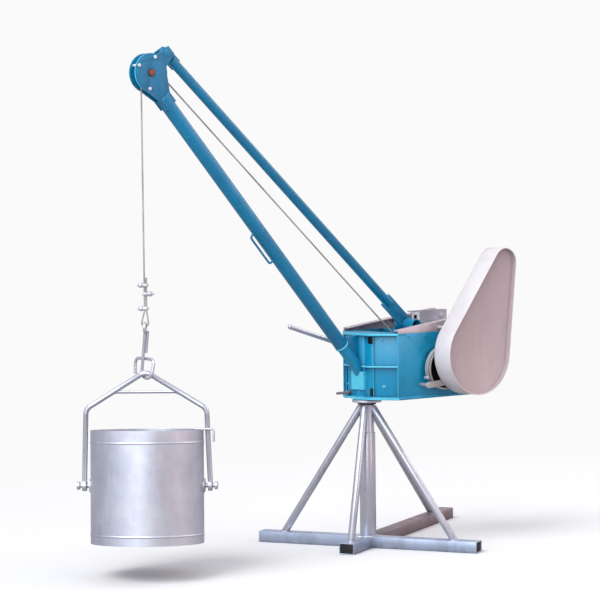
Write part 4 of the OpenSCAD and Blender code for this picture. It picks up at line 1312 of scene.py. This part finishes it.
@dataclass
class SlewHead:
    """The folded plate box that turns on the post."""

    bead: float = 2.2
    fold_bead: float = 1.6
    corner_bead: float = 1.8

    # The beads: Y of the fold beside the middle panel, X and Y of the slanted
    # panel's rear end and of the upright corner behind it, X of the side plate's ends
    fold_y: float = 79.0
    slant_end: Tuple[float, float] = (-36.0, 153.0)
    corner: Tuple[float, float] = (-18.5, 156.0)
    side_run: Tuple[float, float] = (-20.0, -390.0)

    # A point on the slanted panel and its outward direction
    slant_at: Tuple[float, float] = (35.9, 62.7)
    slant_out: Tuple[float, float] = (0.781, 0.625)

    # Bolts as distance along the slanted panel and height, rivets as places along
    # the side plate, and thin dark blocks of painted shade for small openings
    # as two places across and two heights
    panel_bolts: Tuple[Tuple[float, float], ...] = ((44, 775), (52, 602))
    rivets: Tuple[float, ...] = (-70, -150, -320, -388)
    rivet_z: float = 785.0
    opening_shades: Tuple[Tuple[float, float, float, float], ...] = (
        (-77, -48, 760, 786), (48, 77, 760, 786), (58, 76, 566, 596))

    # Faces in front of this X and inside this half-width get a painted highlight on their front
    # edges
    highlight_x: float = -24.0
    highlight_half: float = 158.0

    def plates(self) -> None:
        """Paints the plates with rounded edges in the lighter, lit copy of the teal paint, with a
        painted highlight on the front edges of the floor, deck and ribs.
        """
        for node, r in (("nose_panels", 0.8), ("side_plate_near", 1.0), ("side_plate_far", 1.0),
                        ("rear_plate", 1.0), ("head_sleeve", 0.8)):
            skin(node, Coat.BLUE_PLATE, "blue_paint", r)

        def lit_front_edge(at: Vector, n: Vector) -> bool:
            """Whether a face is part of a plate's front edge, which takes the painted highlight.
            """
            return (n.x > 0.3 and abs(n.z) < 0.4 and at.x > self.highlight_x
                    and abs(at.y) < self.highlight_half)

        for node in ("head_floor", "head_deck", "nose_ribs"):
            m = Maker(PLAN.head).take_node(node, round_by=1.2)
            m.tint(Coat.BLUE_EDGE, lit_front_edge)
            m.finish(node + "_skin", "head", Coat.BLUE_PLATE, [node], "blue_paint")
        skin("slew_lock_screw", Coat.DUSTY, "bare_steel", round_by=0.8)

    def welds(self) -> None:
        """Lays beads along the corners of the box."""
        m = Maker(PLAN.head)
        low = PLAN.head_z + PLAN.floor_t + 0.5
        high = PLAN.deck_z - PLAN.floor_t - 0.5
        front = PLAN.panel_x + 0.5
        for side in (-1, 1):
            fold, wall = side * self.fold_y, side * (PLAN.head_half + 0.3)
            m.weld([(front, side * 30, low), (front, fold, low),
                    (self.slant_end[0], side * self.slant_end[1], low)], self.bead)
            m.weld([(self.side_run[0], wall, low), (self.side_run[1], wall, low)], self.bead)
            m.weld([(front, fold, low + 2), (front, fold, high)], self.fold_bead)
            x, y = self.corner
            m.weld([(x, side * y, low), (x, side * y, high)], self.corner_bead)
        sleeve = PLAN.sleeve_r + 0.6
        m.weld([(math.cos(math.radians(a)) * sleeve, math.sin(math.radians(a)) * sleeve, low)
                for a in range(-38, 39, 4)], self.bead)
        m.finish("head_weld_beads", "head", Coat.BLUE_PLATE, slot="blue_paint")

    def fasteners(self) -> None:
        """Adds the panels' bolts and the side plates' rivets."""
        m = Maker(PLAN.head)
        x, y = self.slant_at
        nx, ny = self.slant_out
        for side in (-1, 1):
            for run, z in self.panel_bolts:
                m.bolt((x - ny * run, side * (y + nx * run), z), (nx, side * ny, 0),
                       r=4.6, tall=3.4, washer=1.0, stud=0)
        # The panel bolts take the paler copy of the teal paint as a painted highlight.
        m.finish("panel_bolts", "head", Coat.BLUE_PALE, slot="blue_paint")
        m = Maker(PLAN.head)
        for side in (-1, 1):
            for x in self.rivets:
                m.disc((x, side * PLAN.head_half, self.rivet_z), (0, side, 0), r=4.4, depth=3.0,
                       sides=16, round_by=1.0)
        m.finish("side_plate_rivets", "head", Coat.BLUE, slot="blue_paint")

    def opening_shade(self) -> None:
        """Lays thin dark blocks beside the folds of the front: painted shade standing in for small
        openings, with no hole cut.
        """
        m = Maker(PLAN.head)
        for low_y, high_y, low_z, high_z in self.opening_shades:
            m.block((PLAN.panel_x - 0.2, low_y, low_z), (PLAN.panel_x + 0.5, high_y, high_z))
        m.finish("panel_opening_shades", "head", Coat.DARK)

    def build(self) -> None:
        """Builds the head."""
        self.plates()
        self.welds()
        self.fasteners()
        self.opening_shade()


@dataclass
class Jib:
    """The jib tube, its spigot and saddle, the handle and the stay."""

    bead: float = 1.8
    tail_bead: float = 1.9
    tail_end_bead: float = 1.7

    # Radius and height of each point of the lip round the jib's lower end
    lip: Tuple[Tuple[float, float], ...] = (
        (22.7, 0.0), (24.4, -1.4), (26.2, -0.8), (27.1, 1.6), (26.6, 4.6), (25.4, 6.4))

    saddle_corner: float = 5.0
    saddle_lap: float = 1.5
    tail_reach: float = 38.0
    tail_lift: float = 1.2
    foot_r: float = 25.0
    foot_half: float = 5.4

    def tubes(self) -> None:
        """Paints the tubes and webs."""
        skin("jib_spigot", Coat.BLUE_PLATE, "blue_paint", round_by=0.8)
        for node, r in (("jib_gusset", 1.0), ("jib_tube", 1.0), ("stay", 1.2),
                        ("stay_anchor", 0.8), ("jib_handle", 0.0)):
            skin(node, Coat.BLUE, "blue_paint", r)
        skin("stay_pin", Coat.BLUE, "bare_steel", round_by=0.8)

    def bed(self, x: float, y: float) -> float:
        """Height of the spigot's underside, or of the saddle's top where that is lower.

        Args:
            x: Distance before the post's axis.
            y: Distance beside the jib's middle.

        Returns:
            The height.
        """
        r = PLAN.spigot_r
        if abs(y) >= r:
            return PLAN.saddle_top
        axis_z = PLAN.jib_z + (x - PLAN.jib_x) * PLAN.jib_dir.y / PLAN.jib_dir.x
        return min(PLAN.saddle_top, axis_z - math.sqrt(r * r - y * y) / PLAN.jib_dir.x)

    def saddle(self, columns: int = 8, slices: int = 40) -> None:
        """Shapes the block under the spigot's foot, hollowed where the foot lies in it.

        Args:
            columns: Steps from its back to its front.
            slices: Steps across it.
        """
        m = Maker(PLAN.head)
        half, corner = PLAN.saddle_half, self.saddle_corner
        rings = []
        for k in range(slices + 1):
            y = half * (2 * k / slices - 1)
            past = max(0.0, abs(y) - half + corner)
            front = PLAN.saddle_front - corner + math.sqrt(corner ** 2 - past ** 2)
            back = max(PLAN.panel_x, math.sqrt(PLAN.sleeve_r ** 2 - y * y) - self.saddle_lap)
            xs = [back + (front - back) * i / columns for i in range(columns + 1)]
            ring = [(x, y, self.bed(x, y)) for x in xs]
            ring += [(front, y, PLAN.saddle_low), (back, y, PLAN.saddle_low)]
            rings.append([m.bm.verts.new(at) for at in ring])
        for low, high in zip(rings, rings[1:]):
            for i in range(len(low)):
                j = (i + 1) % len(low)
                m.bm.faces.new((low[i], low[j], high[j], high[i]))
        m.bm.faces.new(rings[0])
        m.bm.faces.new(rings[-1])
        bmesh.ops.recalc_face_normals(m.bm, faces=m.bm.faces)
        # The whole saddle takes the light teal of the painted highlight.
        m.finish("jib_saddle_skin", "head", Coat.BLUE_EDGE, ["jib_saddle"], "blue_paint")

    def rim(self) -> None:
        """Rolls a lip round the jib's lower end in the painted highlight colour."""
        m = Maker(PLAN.jib(PLAN.jib_start))
        m.lathe(self.lip, steps=48, closed=False)
        m.finish("jib_end_lip", "head", Coat.BLUE_EDGE, slot="blue_paint")

    def welds(self) -> None:
        """Lays the beads of the cheeks' tails, the stay's foot and the saddle's hollow."""
        m = Maker(PLAN.jib(PLAN.jib_start + PLAN.jib_len))
        outer = PLAN.cheek_y + PLAN.cheek_t
        edge = math.sqrt(PLAN.jib_r ** 2 - outer ** 2)
        for side in (-1, 1):
            y = side * (outer + self.tail_lift)
            for x in (-edge, edge):
                m.weld([(x, y, -self.tail_reach), (x, y, 1)], self.tail_bead)
            m.weld([(-edge, y, 0.6), (edge, y, 0.6)], self.tail_end_bead)
        m.finish("cheek_weld_beads", "head", Coat.BLUE, slot="blue_paint")
        m = Maker(PLAN.head)
        x, z = PLAN.stay_foot
        for side in (-1, 1):
            m.weld([(x + self.foot_r * math.cos(math.radians(a)), side * self.foot_half,
                     z + self.foot_r * math.sin(math.radians(a))) for a in range(10, 101, 8)],
                   self.bead)
        m.finish("stay_weld_beads", "head", Coat.BLUE, slot="blue_paint")
        m = Maker(PLAN.head)
        m.weld([(PLAN.saddle_front - 0.6, y, self.bed(PLAN.saddle_front, y))
                for y in range(-16, 17, 2)], self.bead)
        m.finish("saddle_weld_bead", "head", Coat.BLUE, slot="blue_paint")

    def build(self) -> None:
        """Builds the jib."""
        self.tubes()
        self.saddle()
        self.rim()
        self.welds()


@dataclass
class SheaveHead:
    """Cheeks, spacers, axle and sheave at the jib's tip."""

    def build(self) -> None:
        """Builds the sheave head."""
        skin("cheek_far", Coat.BLUE, "blue_paint", round_by=1.0)
        m = Maker(PLAN.head).take_node("cheek_near", round_by=1.0)
        # The near cheek's front edges take the light teal of the painted highlight.
        m.tint(Coat.BLUE_EDGE, lambda at, n: abs(n.y) < 0.3 and at.x > PLAN.axle.x)
        m.finish("cheek_near_skin", "head", Coat.BLUE, ["cheek_near"], "blue_paint")
        skin("cheek_spacers", Coat.WHITE_NUT, "galvanised_steel", round_by=0.5)
        skin("sheave_axle", Coat.RUSTED, "rusty_steel", round_by=0.8)
        skin("sheave", Coat.STEEL, "bare_steel", round_by=0.5)
        self.washers()

    def washers(self) -> None:
        """Lays the washers of the axle and of the stay's upper pin on the cheeks."""
        outer = PLAN.cheek_y + PLAN.cheek_t
        axle, ear = Maker(PLAN.head), Maker(PLAN.head)
        ear_x, ear_z = PLAN.axle.x - PLAN.ear_back, PLAN.axle.y + PLAN.ear_rise
        for side in (-1, 1):
            out = (0, side, 0)
            axle.washer((PLAN.axle.x, side * outer, PLAN.axle.y), out, bore=9.2, r=13.5,
                        thick=2.4, steps=40)
            ear.washer((ear_x, side * outer, ear_z), out, bore=7.4, r=14.5, thick=1.8, steps=32)
        axle.finish("axle_washers", "head", Coat.DARK)
        ear.finish("stay_pin_washers", "head", Coat.BLUE, slot="blue_paint")


@dataclass
class Winch:
    """Drum, bearings, brake drum and the rope that leaves it."""

    bearing_t: float = 7.0
    bolt_ring_r: float = 27.0
    lining_r: float = 78.4
    band_r: float = 81.0
    band_outer_r: float = 82.8
    band_angles: Tuple[float, float] = (-20.0, 232.0)
    lug_at_r: float = 87.0
    turn_spans: Tuple[Tuple[float, float], ...] = ((-83.0, -3.4), (3.4, 50.0))
    wrap: float = 150.0

    def drum(self) -> None:
        """Dresses the drum, bearings and brake drum."""
        skin("winch_drum", Coat.STEEL, "bare_steel", round_by=0.8)
        rim_y = PLAN.brake_y + PLAN.brake_w - 1.2
        m = Maker(PLAN.head).take_node("brake_drum", round_by=0.8)
        # The drum's inner faces take the dark oiled-steel finish: painted shade in its hollow.
        m.tint(Coat.DARK, lambda at, n: at.y < rim_y and
               math.hypot(at.x - PLAN.drum.x, at.z - PLAN.drum.y) < PLAN.brake_r - 6)
        m.finish("brake_drum_skin", body_of_node("brake_drum"), Coat.BAND, ["brake_drum"],
                 "bare_steel")
        skin("drum_bearings", Coat.STEEL, "bare_steel", round_by=0.8)
        m = Maker(PLAN.head)
        for side in (1, -1):
            y = side * (PLAN.head_half + self.bearing_t)
            for p in arc_xz(PLAN.drum, self.bolt_ring_r, 45, 315, steps=3):
                m.bolt((p.x, y, p.z), (0, side, 0), r=4.6, tall=2.2, washer=0.6, stud=0)
        m.finish("bearing_bolts", "head", Coat.ZINC)

    def band(self) -> None:
        """Wraps the lined brake band round its drum, with a lug at each end."""
        low = PLAN.brake_y + 3
        high = PLAN.brake_y + PLAN.brake_w - 3
        start, end = self.band_angles
        for name, inner, outer, coat in (
                ("brake_lining", self.lining_r, self.band_r, Coat.LINING),
                ("brake_band", self.band_r, self.band_outer_r, Coat.BAND)):
            m = Maker(PLAN.head)
            m.arc_strip(PLAN.drum, inner, outer, low, high, start, end, steps=60)
            m.finish(name, "head", coat)
        m = Maker(PLAN.head)
        for p in arc_xz(PLAN.drum, self.lug_at_r, start, end, steps=1):
            m.disc((p.x, low, p.z), (0, 1, 0), r=6.5, depth=high - low, sides=24, round_by=1.0)
            m.disc((p.x, low - 3, p.z), (0, 1, 0), r=3.2, depth=high - low + 6, sides=16,
                   round_by=0.6)
        m.finish("brake_band_lugs", "head", Coat.ZINC)

    def turns(self, steps: int = 40) -> None:
        """Winds one layer of rope either side of the lead.

        Args:
            steps: Steps in a turn.
        """
        m = Maker(PLAN.head)
        pitch = PLAN.rope_r * 2.1
        r = PLAN.drum_rope_r
        for start, stop in self.turn_spans:
            count = int((stop - start - 2 * PLAN.rope_r) / pitch)
            path: List[Vector] = []
            for i in range(count * steps + 1):
                a = 2 * math.pi * i / steps
                path.append(Vector((PLAN.drum.x + r * math.cos(a),
                                    start + PLAN.rope_r + pitch * i / steps,
                                    PLAN.drum.y + r * math.sin(a))))
            m.sweep(path, PLAN.rope_r, sides=8)
        m.finish("wound_rope_turns", "drum", Coat.ROPE, ["wound_rope"], "wire_rope")

    def lead(self) -> None:
        """Runs the taut rope from the drum over the sheave."""
        n = tangent_normal(PLAN.drum, PLAN.drum_rope_r, PLAN.axle, PLAN.sheave_rope_r, 1)
        angle = math.degrees(math.atan2(n.y, n.x))
        low = PLAN.drum + n * PLAN.drum_rope_r
        high = PLAN.axle + n * PLAN.sheave_rope_r
        path = arc_xz(PLAN.drum, PLAN.drum_rope_r, angle + self.wrap, angle, steps=40)[:-1]
        path += line_points(Vector((low.x, 0, low.y)), Vector((high.x, 0, high.y)), ROPE_STEP)
        path += arc_xz(PLAN.axle, PLAN.sheave_rope_r, angle, 0, steps=26)[1:]
        m = Maker(PLAN.head).rope(path)
        m.finish("rope_lead_strands", "head", Coat.ROPE, ["rope_lead"], "wire_rope",
                 smooth=STRAND_SMOOTH)

    def build(self) -> None:
        """Builds the winch."""
        self.drum()
        self.band()
        self.turns()
        self.lead()


@dataclass
class MotorFrame:
    """The sloping frame on the deck, with its cross bars and the slotted bracket."""

    cross_bars: Tuple[float, float] = (-284.0, -400.0)
    bar_bolt_y: float = 120.0
    bar_top_z: float = 825.2
    bracket_top_z: float = 866.0
    slot_z: float = 844.0
    rear_slot_x: float = -382.0
    front_slot_x: float = -254.0

    # The bare patch and the slot inside it, as two places along and two heights
    patch_edge: Tuple[float, float, float, float] = (-274.0, -238.0, 828.0, 863.0)
    patch_slot: Tuple[float, float, float, float] = (-262.0, -246.0, 836.0, 852.0)

    def build(self) -> None:
        """Builds the frame."""
        for node in ("frame_rail_near", "frame_rail_far"):
            skin(node, Coat.RAIL, "pale_paint", round_by=0.8)
        m = Maker(PLAN.head).take_node("motor_bracket", round_by=1.0)
        m.tint(Coat.DUSTY, lambda at, n: at.z > self.bracket_top_z and n.z > 0.5)
        m.finish("motor_bracket_skin", "head", Coat.SILVER, ["motor_bracket"], "pale_paint")
        self.patch()
        self.bolts()

    def bolts(self) -> None:
        """Adds the cross bars' bolts and what sits in the bracket's slots."""
        m = Maker(PLAN.head)
        for x in self.cross_bars:
            for side in (-1, 1):
                m.bolt((x, side * self.bar_bolt_y, self.bar_top_z), (0, 0, 1), r=6.4, tall=5.0,
                       washer=1.4, stud=3.0)
        m.finish("cross_bar_bolts", "head", Coat.ZINC)
        m = Maker(PLAN.head)
        front, x, z = -PLAN.bracket_y, self.rear_slot_x, self.slot_z
        m.disc((x, front - 0.2, z), (0, 1, 0), r=12.0, depth=1.8, sides=28, round_by=0.4)
        m.bolt((x, front + 1.4, z), (0, 1, 0), r=8.0, tall=5.5, washer=0.0, stud=0.0)
        m.finish("slot_bolt", "head", Coat.SILVER, slot="pale_paint")
        m = Maker(PLAN.head)
        m.disc((self.front_slot_x, front - 6.5, z), (0, 1, 0), r=12.0, depth=2.6, sides=28,
               round_by=0.4)
        m.finish("slot_washer", "head", Coat.DARK)

    def patch(self) -> None:
        """Lays the pale bare patch round the bracket's front slot."""
        y = -PLAN.bracket_y
        x0, x3, z0, z3 = self.patch_edge
        x1, x2, z1, z2 = self.patch_slot
        m = Maker(PLAN.head)
        for low_x, high_x, low_z, high_z in ((x0, x1, z0, z3), (x2, x3, z0, z3),
                                             (x1, x2, z0, z1), (x1, x2, z2, z3)):
            m.block((low_x, y - 0.1, low_z), (high_x, y + 0.5, high_z))
        m.finish("bracket_bare_patch", "head", Coat.WHITE_NUT)


@dataclass
class BeltGuard:
    """The teardrop belt guard and what carries it."""

    dish: float = 6.0
    screw_count: int = 7
    screw_y: float = 9.0
    middle_rise: float = 120.0

    @property
    def lip_y(self) -> float:
        """Open edge of the guard, from the head's centre plane."""
        return PLAN.guard_y + PLAN.guard_depth

    @property
    def face_y(self) -> float:
        """Sunken face of the guard, from the head's centre plane."""
        return self.lip_y - PLAN.guard_recess

    def build(self) -> None:
        """Builds the guard."""
        m = Maker(PLAN.head).take_node("belt_guard", round_by=1.2)
        # The sunken face and the recess's walls take the shaded copy of the guard's paint.
        m.tint(Coat.GUARD_FACE, lambda at, n: self.face_y - self.dish < at.y < self.lip_y - 1)
        m.finish("belt_guard_skin", "head", Coat.GUARD_RIM, ["belt_guard"], "pale_paint")
        skin("guard_back", Coat.GUARD_FACE, "pale_paint", round_by=0.6)
        skin("guard_studs", Coat.BAND, "bare_steel", round_by=0.6)
        skin("shaft_housing", Coat.STEEL, "bare_steel", round_by=0.8)
        self.lip()
        self.screws()

    def outline(self, inset: float, y: float, steps: int = 26,
                pitch: float = 12.0) -> List[Vector]:
        """Points round the guard's teardrop.

        Args:
            inset: Distance inside its outer edge.
            y: Distance from the head's centre plane.
            steps: Steps round each end.
            pitch: Longest distance between two points on its straight sides.

        Returns:
            The points, in order.
        """
        big, small = Vector(PLAN.guard_big), Vector(PLAN.guard_small)
        way = small - big
        lean = math.degrees(math.atan2(way.y, way.x))
        spread = math.degrees(math.acos((PLAN.guard_big_r - PLAN.guard_small_r) / way.length))
        path = arc_xz(small, PLAN.guard_small_r - inset, lean - spread, lean + spread, steps)
        path += arc_xz(big, PLAN.guard_big_r - inset, lean + spread, lean + 360 - spread,
                       2 * steps)
        for p in path:
            p.y = y
        dense: List[Vector] = []
        for p, q in zip(path, path[1:] + path[:1]):
            dense += line_points(p, q, pitch)[:-1]
        return dense

    def lip(self) -> None:
        """Rolls a rounded lip round the guard's open edge and lays its face's seam, both in the
        shaded copy of the guard's paint.
        """
        m = Maker(PLAN.head)
        m.sweep(self.outline(2.2, self.lip_y - 2.0), 1.9, sides=10, closed=True)
        m.finish("guard_rolled_lip", "head", Coat.GUARD_FACE, slot="pale_paint")
        m = Maker(PLAN.head)
        m.sweep(self.outline(3.4, self.face_y + 0.4), 1.3, sides=8, ripple=0.1, closed=True)
        m.finish("guard_face_seam", "head", Coat.GUARD_FACE, slot="pale_paint")

    def screws(self) -> None:
        """Sets the screws that hold the cover to its back plate."""
        m = Maker(PLAN.head)
        x, z = PLAN.guard_big
        path = self.outline(0.2, PLAN.guard_y + self.screw_y)
        count = len(path)
        for i in range(self.screw_count):
            at = i * count // self.screw_count + 3
            p, q = path[at], path[(at + 1) % count]
            way = (q - p).cross(Vector((0, 1, 0))).normalized()
            middle = Vector((x, p.y, z + self.middle_rise))
            if way.dot(p - middle) < 0:
                way = -way
            m.disc(p - way * 1.6, way, r=4.4, depth=1.7, sides=20, round_by=0.5)
        m.finish("guard_screws", "head", Coat.ZINC)


@dataclass
class HangingLoad:
    """The falling rope, its clipped eye, the hook and the bail."""

    # The clips' heights, the middle between the two ropes that they hold, and
    # how far their saddle and their nut stand from it
    clips: Tuple[float, float, float] = (929.0, 979.0, 1009.0)
    clip_x: float = 3.25
    cap_set: float = 6.5
    nut_set: float = 4.0

    # Radius and height of each point of a clip's saddle and of its nut
    cap: Tuple[Tuple[float, float], ...] = (
        (0.0, 0.0), (6.0, 0.6), (8.4, 3.4), (9.2, 7.6), (8.6, 12.2), (6.6, 16.8), (3.4, 20.2),
        (0.0, 21.4))
    nut: Tuple[Tuple[float, float], ...] = (
        (0.0, 0.0), (4.4, 0.8), (5.6, 3.6), (4.6, 6.6), (0.0, 7.6))

    # The bail's shoulders, its tie bar and the bead round the bar's ends
    shoulder_z: float = 582.0
    tie_z: float = 640.0
    crown_lift: float = 7.0
    side_set: float = 9.0
    tie_bead_r: float = 6.4

    def build(self) -> None:
        """Builds what hangs on the rope."""
        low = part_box("rope_fall")[0].z / MM
        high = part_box("rope_fall")[1].z / MM
        m = Maker(PLAN.load)
        m.rope(line_points(Vector((0, 0, high)), Vector((0, 0, low)), ROPE_STEP))
        obj = m.loose("rope_fall_strands", Coat.ROPE, STRAND_SMOOTH)
        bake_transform(obj)
        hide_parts("rope_fall")
        skin("rope_eye", Coat.ROPE, "wire_rope", round_by=0.0)
        skin("rope_clips", Coat.ZINC, "galvanised_steel", round_by=0.5)
        self.saddles()
        skin("hook", Coat.ZINC, "galvanised_steel", round_by=0.0)
        skin("bail", Coat.SILVER, "silver_paint", round_by=0.8)
        self.beads()

    def saddles(self) -> None:
        """Caps the rope clips with their forged saddles and rounds their nuts."""
        m = Maker(PLAN.load)
        for i, z in enumerate(self.clips):
            way = 1 if i == 1 else -1
            m.lathe(self.cap, (self.clip_x + way * self.cap_set, 0, z), (way, 0, 0), steps=32)
            m.lathe(self.nut, (self.clip_x - way * self.nut_set, 0, z), (-way, 0, 0), steps=24)
        m.finish("clip_saddles", "load", Coat.ZINC, slot="galvanised_steel")

    def beads(self) -> None:
        """Lays the beads that join the tie bar to the bail."""
        shoulder = PLAN.bail_half - self.side_set
        rise = PLAN.bail_top_z + self.crown_lift - self.shoulder_z
        x = shoulder * (1 - (self.tie_z - self.shoulder_z) / rise) - self.side_set
        r = self.tie_bead_r
        m = Maker(PLAN.load)
        for side in (-1, 1):
            m.weld([(side * x, r * math.cos(math.radians(a)),
                     self.tie_z + r * math.sin(math.radians(a))) for a in range(0, 361, 20)],
                   r=1.4)
        m.finish("tie_bar_beads", "load", Coat.SILVER, slot="silver_paint")


@dataclass
class Bucket:
    """The tipping bucket with its trunnions and latch."""

    shell_r: float = 193.0
    seam_angle: float = 118.0
    seam_low: float = 26.0
    seam_gap: float = 46.0
    rivet_ring_r: float = 24.0
    rivet_angles: Tuple[float, ...] = (40, 140, 220, 320)

    def build(self) -> None:
        """Builds the bucket."""
        Maker(PLAN.row).take_node("bucket", round_by=0.5).finish(
            "bucket_skin", "bucket", Coat.BUCKET, ["bucket"], "galvanised_steel", 20.0)
        skin("bucket_trunnions", Coat.ZINC, "bare_steel", round_by=0.8)
        skin("bail_latch", Coat.ZINC, "galvanised_steel", round_by=0.0)
        self.seam()
        self.rivets()

    def seam(self) -> None:
        """Lays the shell's upright seam."""
        m = Maker(PLAN.bucket)
        a = math.radians(self.seam_angle)
        r = self.shell_r + 0.4
        x, y = r * math.cos(a), r * math.sin(a)
        m.weld([(x, y, self.seam_low), (x, y, PLAN.bucket_h - self.seam_gap)], r=1.5)
        m.finish("bucket_side_seam", "bucket", Coat.BUCKET, slot="galvanised_steel")

    def rivets(self) -> None:
        """Rivets the trunnions' pads to the shell."""
        m = Maker(PLAN.bucket)
        for side in (-1, 1):
            for angle in self.rivet_angles:
                y = self.rivet_ring_r * math.cos(math.radians(angle))
                z = PLAN.trunnion_h + self.rivet_ring_r * math.sin(math.radians(angle))
                x = side * (math.sqrt(PLAN.bucket_r ** 2 - y * y) + 0.4)
                m.disc((x - side * 1.2, y, z), (side, 0, 0), r=3.6, depth=2.6, sides=16,
                       round_by=1.0)
        m.finish("trunnion_rivets", "bucket", Coat.ZINC, slot="galvanised_steel")


@dataclass
class ControlLever:
    """The hand lever on the far side of the head."""

    def build(self) -> None:
        """Builds the lever."""
        skin("control_lever", Coat.SILVER, "silver_paint", round_by=0.8)
        skin("lever_pivot", Coat.STEEL, "bare_steel", round_by=0.8)


@dataclass(frozen=True)
class Lamp:
    """A soft square lamp, in metres and watts."""

    name: str
    at: Point
    aim: Point
    size: float
    power: float
    tint: Colour

    def hang(self) -> None:
        """Hangs the lamp."""
        light = bpy.data.lights.new(self.name, "AREA")
        light.size = self.size
        light.energy = self.power
        light.color = self.tint
        obj = bpy.data.objects.new(self.name, light)
        turn = (Vector(self.aim) - Vector(self.at)).to_track_quat("-Z", "Y")
        obj.matrix_world = Matrix.Translation(self.at) @ turn.to_matrix().to_4x4()
        bpy.context.scene.collection.objects.link(obj)


@dataclass
class Studio:
    """Floor, light and camera."""

    lens: float = 144.0
    stand: Point = (3.407, -8.201, 1.354)
    azimuth: float = 24.13
    pitch: float = 2.79
    roll: float = -0.71

    # Tones of the backdrop, the floor and the walls that the metal mirrors
    backdrop: float = 0.955
    floor_seen: Colour = (0.80, 0.80, 0.80)
    floor_bounced: Colour = (0.34, 0.32, 0.33)
    left_wall: Colour = (0.13, 0.15, 0.20)
    right_wall: Colour = (0.66, 0.52, 0.53)
    ceiling: Colour = (0.80, 0.82, 0.86)
    window: Colour = (1.15, 1.22, 1.34)
    far_wall: Colour = (0.75, 0.74, 0.78)

    # The broad light's direction, its strength and how wide its disc is, in degrees
    sun_way: Point = (0.22, 0.68, -0.86)
    sun_strength: float = 1.6
    sun_spread: float = 32.0
    lamps: Tuple[Lamp, ...] = (
        Lamp("key", at=(0.6, -6.1, 3.0), aim=(0, 0, 0.7), size=4.4, power=112.0,
             tint=(0.97, 0.99, 1.0)),
        Lamp("rim", at=(3.5, 3.5, 4.0), aim=(0, 0, 0.8), size=2.5, power=60.0,
             tint=(1.0, 0.95, 0.94)),
        Lamp("rosy", at=(5.6, -0.4, 2.0), aim=(0, 0, 0.6), size=3.0, power=34.0,
             tint=(1.0, 0.80, 0.84)))

    def floor(self) -> None:
        """Lays a wide pale floor."""
        bm = bmesh.new()
        bmesh.ops.create_grid(bm, x_segments=1, y_segments=1, size=40.0,
                              matrix=Matrix.Translation((0, 0, -0.0005)))
        mesh = bpy.data.meshes.new("floor")
        bm.to_mesh(mesh)
        bm.free()
        obj = bpy.data.objects.new("studio_floor", mesh)
        bpy.context.scene.collection.objects.link(obj)
        mesh.materials.append(FloorFinish("studio_floor", self.floor_seen, self.floor_bounced,
                                          self.backdrop).build())

    def sun(self) -> None:
        """Adds the broad, even light."""
        light = bpy.data.lights.new("sky_panel", "SUN")
        light.energy = self.sun_strength
        light.angle = math.radians(self.sun_spread)
        obj = bpy.data.objects.new("sky_panel", light)
        obj.matrix_world = Vector(self.sun_way).to_track_quat("-Z", "Y").to_matrix().to_4x4()
        bpy.context.scene.collection.objects.link(obj)

    def surround(self) -> None:
        """Paints the studio's walls: cool to the left, rosy to the right, a bright window."""
        world = bpy.data.worlds.new("studio")
        world.use_nodes = True
        s = Sheet(world.node_tree)
        way = s.add("ShaderNodeTexCoord").outputs["Generated"]

        def toward(direction: Vector, low: float, high: float) -> bpy.types.NodeSocket:
            """Mask of the part of the room that lies toward a direction."""
            match = s.add("ShaderNodeVectorMath", operation="DOT_PRODUCT")
            match.inputs[1].default_value = direction.normalized()
            s.join(way, match.inputs[0])
            return s.ramp(match.outputs["Value"], low, high)

        a = math.radians(self.azimuth)
        up = Vector((0.0, 0.0, 1.0))
        right = Vector((math.cos(a), math.sin(a), 0.0))
        near = Vector((math.sin(a), -math.cos(a), 0.0))
        tone = s.mix(toward(right, -0.9, 0.9), self.left_wall, self.right_wall)
        tone = s.mix(toward(up, 0.25, 0.95), tone, self.ceiling)
        tone = s.mix(toward(near * 0.8 - right * 0.62 + up * 0.18, 0.55, 0.96), tone, self.window)
        tone = s.mix(toward(right * 0.55 - near, 0.75, 0.98), tone, self.far_wall)
        path = s.add("ShaderNodeLightPath")
        back = s.add("ShaderNodeBackground")
        s.join(s.mix(path.outputs["Is Camera Ray"], tone, (self.backdrop,) * 3),
               back.inputs["Color"])
        out = s.add("ShaderNodeOutputWorld")
        s.join(back.outputs[0], out.inputs["Surface"])
        bpy.context.scene.world = world

    def light(self) -> None:
        """Sets the surround, the broad light and the lamps."""
        self.surround()
        self.sun()
        for lamp in self.lamps:
            lamp.hang()

    def camera(self) -> None:
        """Stands the camera."""
        a, p, r = (math.radians(v) for v in (self.azimuth, self.pitch, self.roll))
        ahead = Vector((-math.sin(a) * math.cos(p), math.cos(a) * math.cos(p), -math.sin(p)))
        right = Vector((math.cos(a), math.sin(a), 0))
        up = right.cross(ahead)
        turned = right * math.cos(r) + up * math.sin(r)
        up = turned.cross(ahead)
        lens = bpy.data.cameras.new("camera")
        lens.sensor_width = 36.0
        lens.lens = self.lens
        lens.clip_end = 100.0
        obj = bpy.data.objects.new("camera", lens)
        axes = Matrix((turned, up, -ahead)).transposed().to_4x4()
        obj.matrix_world = Matrix.Translation(self.stand) @ axes
        bpy.context.scene.collection.objects.link(obj)
        bpy.context.scene.camera = obj

    def build(self) -> None:
        """Sets up the studio."""
        self.floor()
        self.light()
        self.camera()
        bpy.context.scene.view_settings.view_transform = "Standard"


def main() -> None:
    """Builds each sub-assembly in turn and the studio round it."""
    logging.basicConfig(level=logging.INFO, format="%(message)s")
    Studio().build()
    for assembly in (BaseStand(), SlewHead(), Jib(), SheaveHead(), Winch(), MotorFrame(),
                     BeltGuard(), HangingLoad(), Bucket(), ControlLever()):
        assembly.build()
        log.info("%s is built", type(assembly).__name__)


if __name__ == "__main__":
    main()
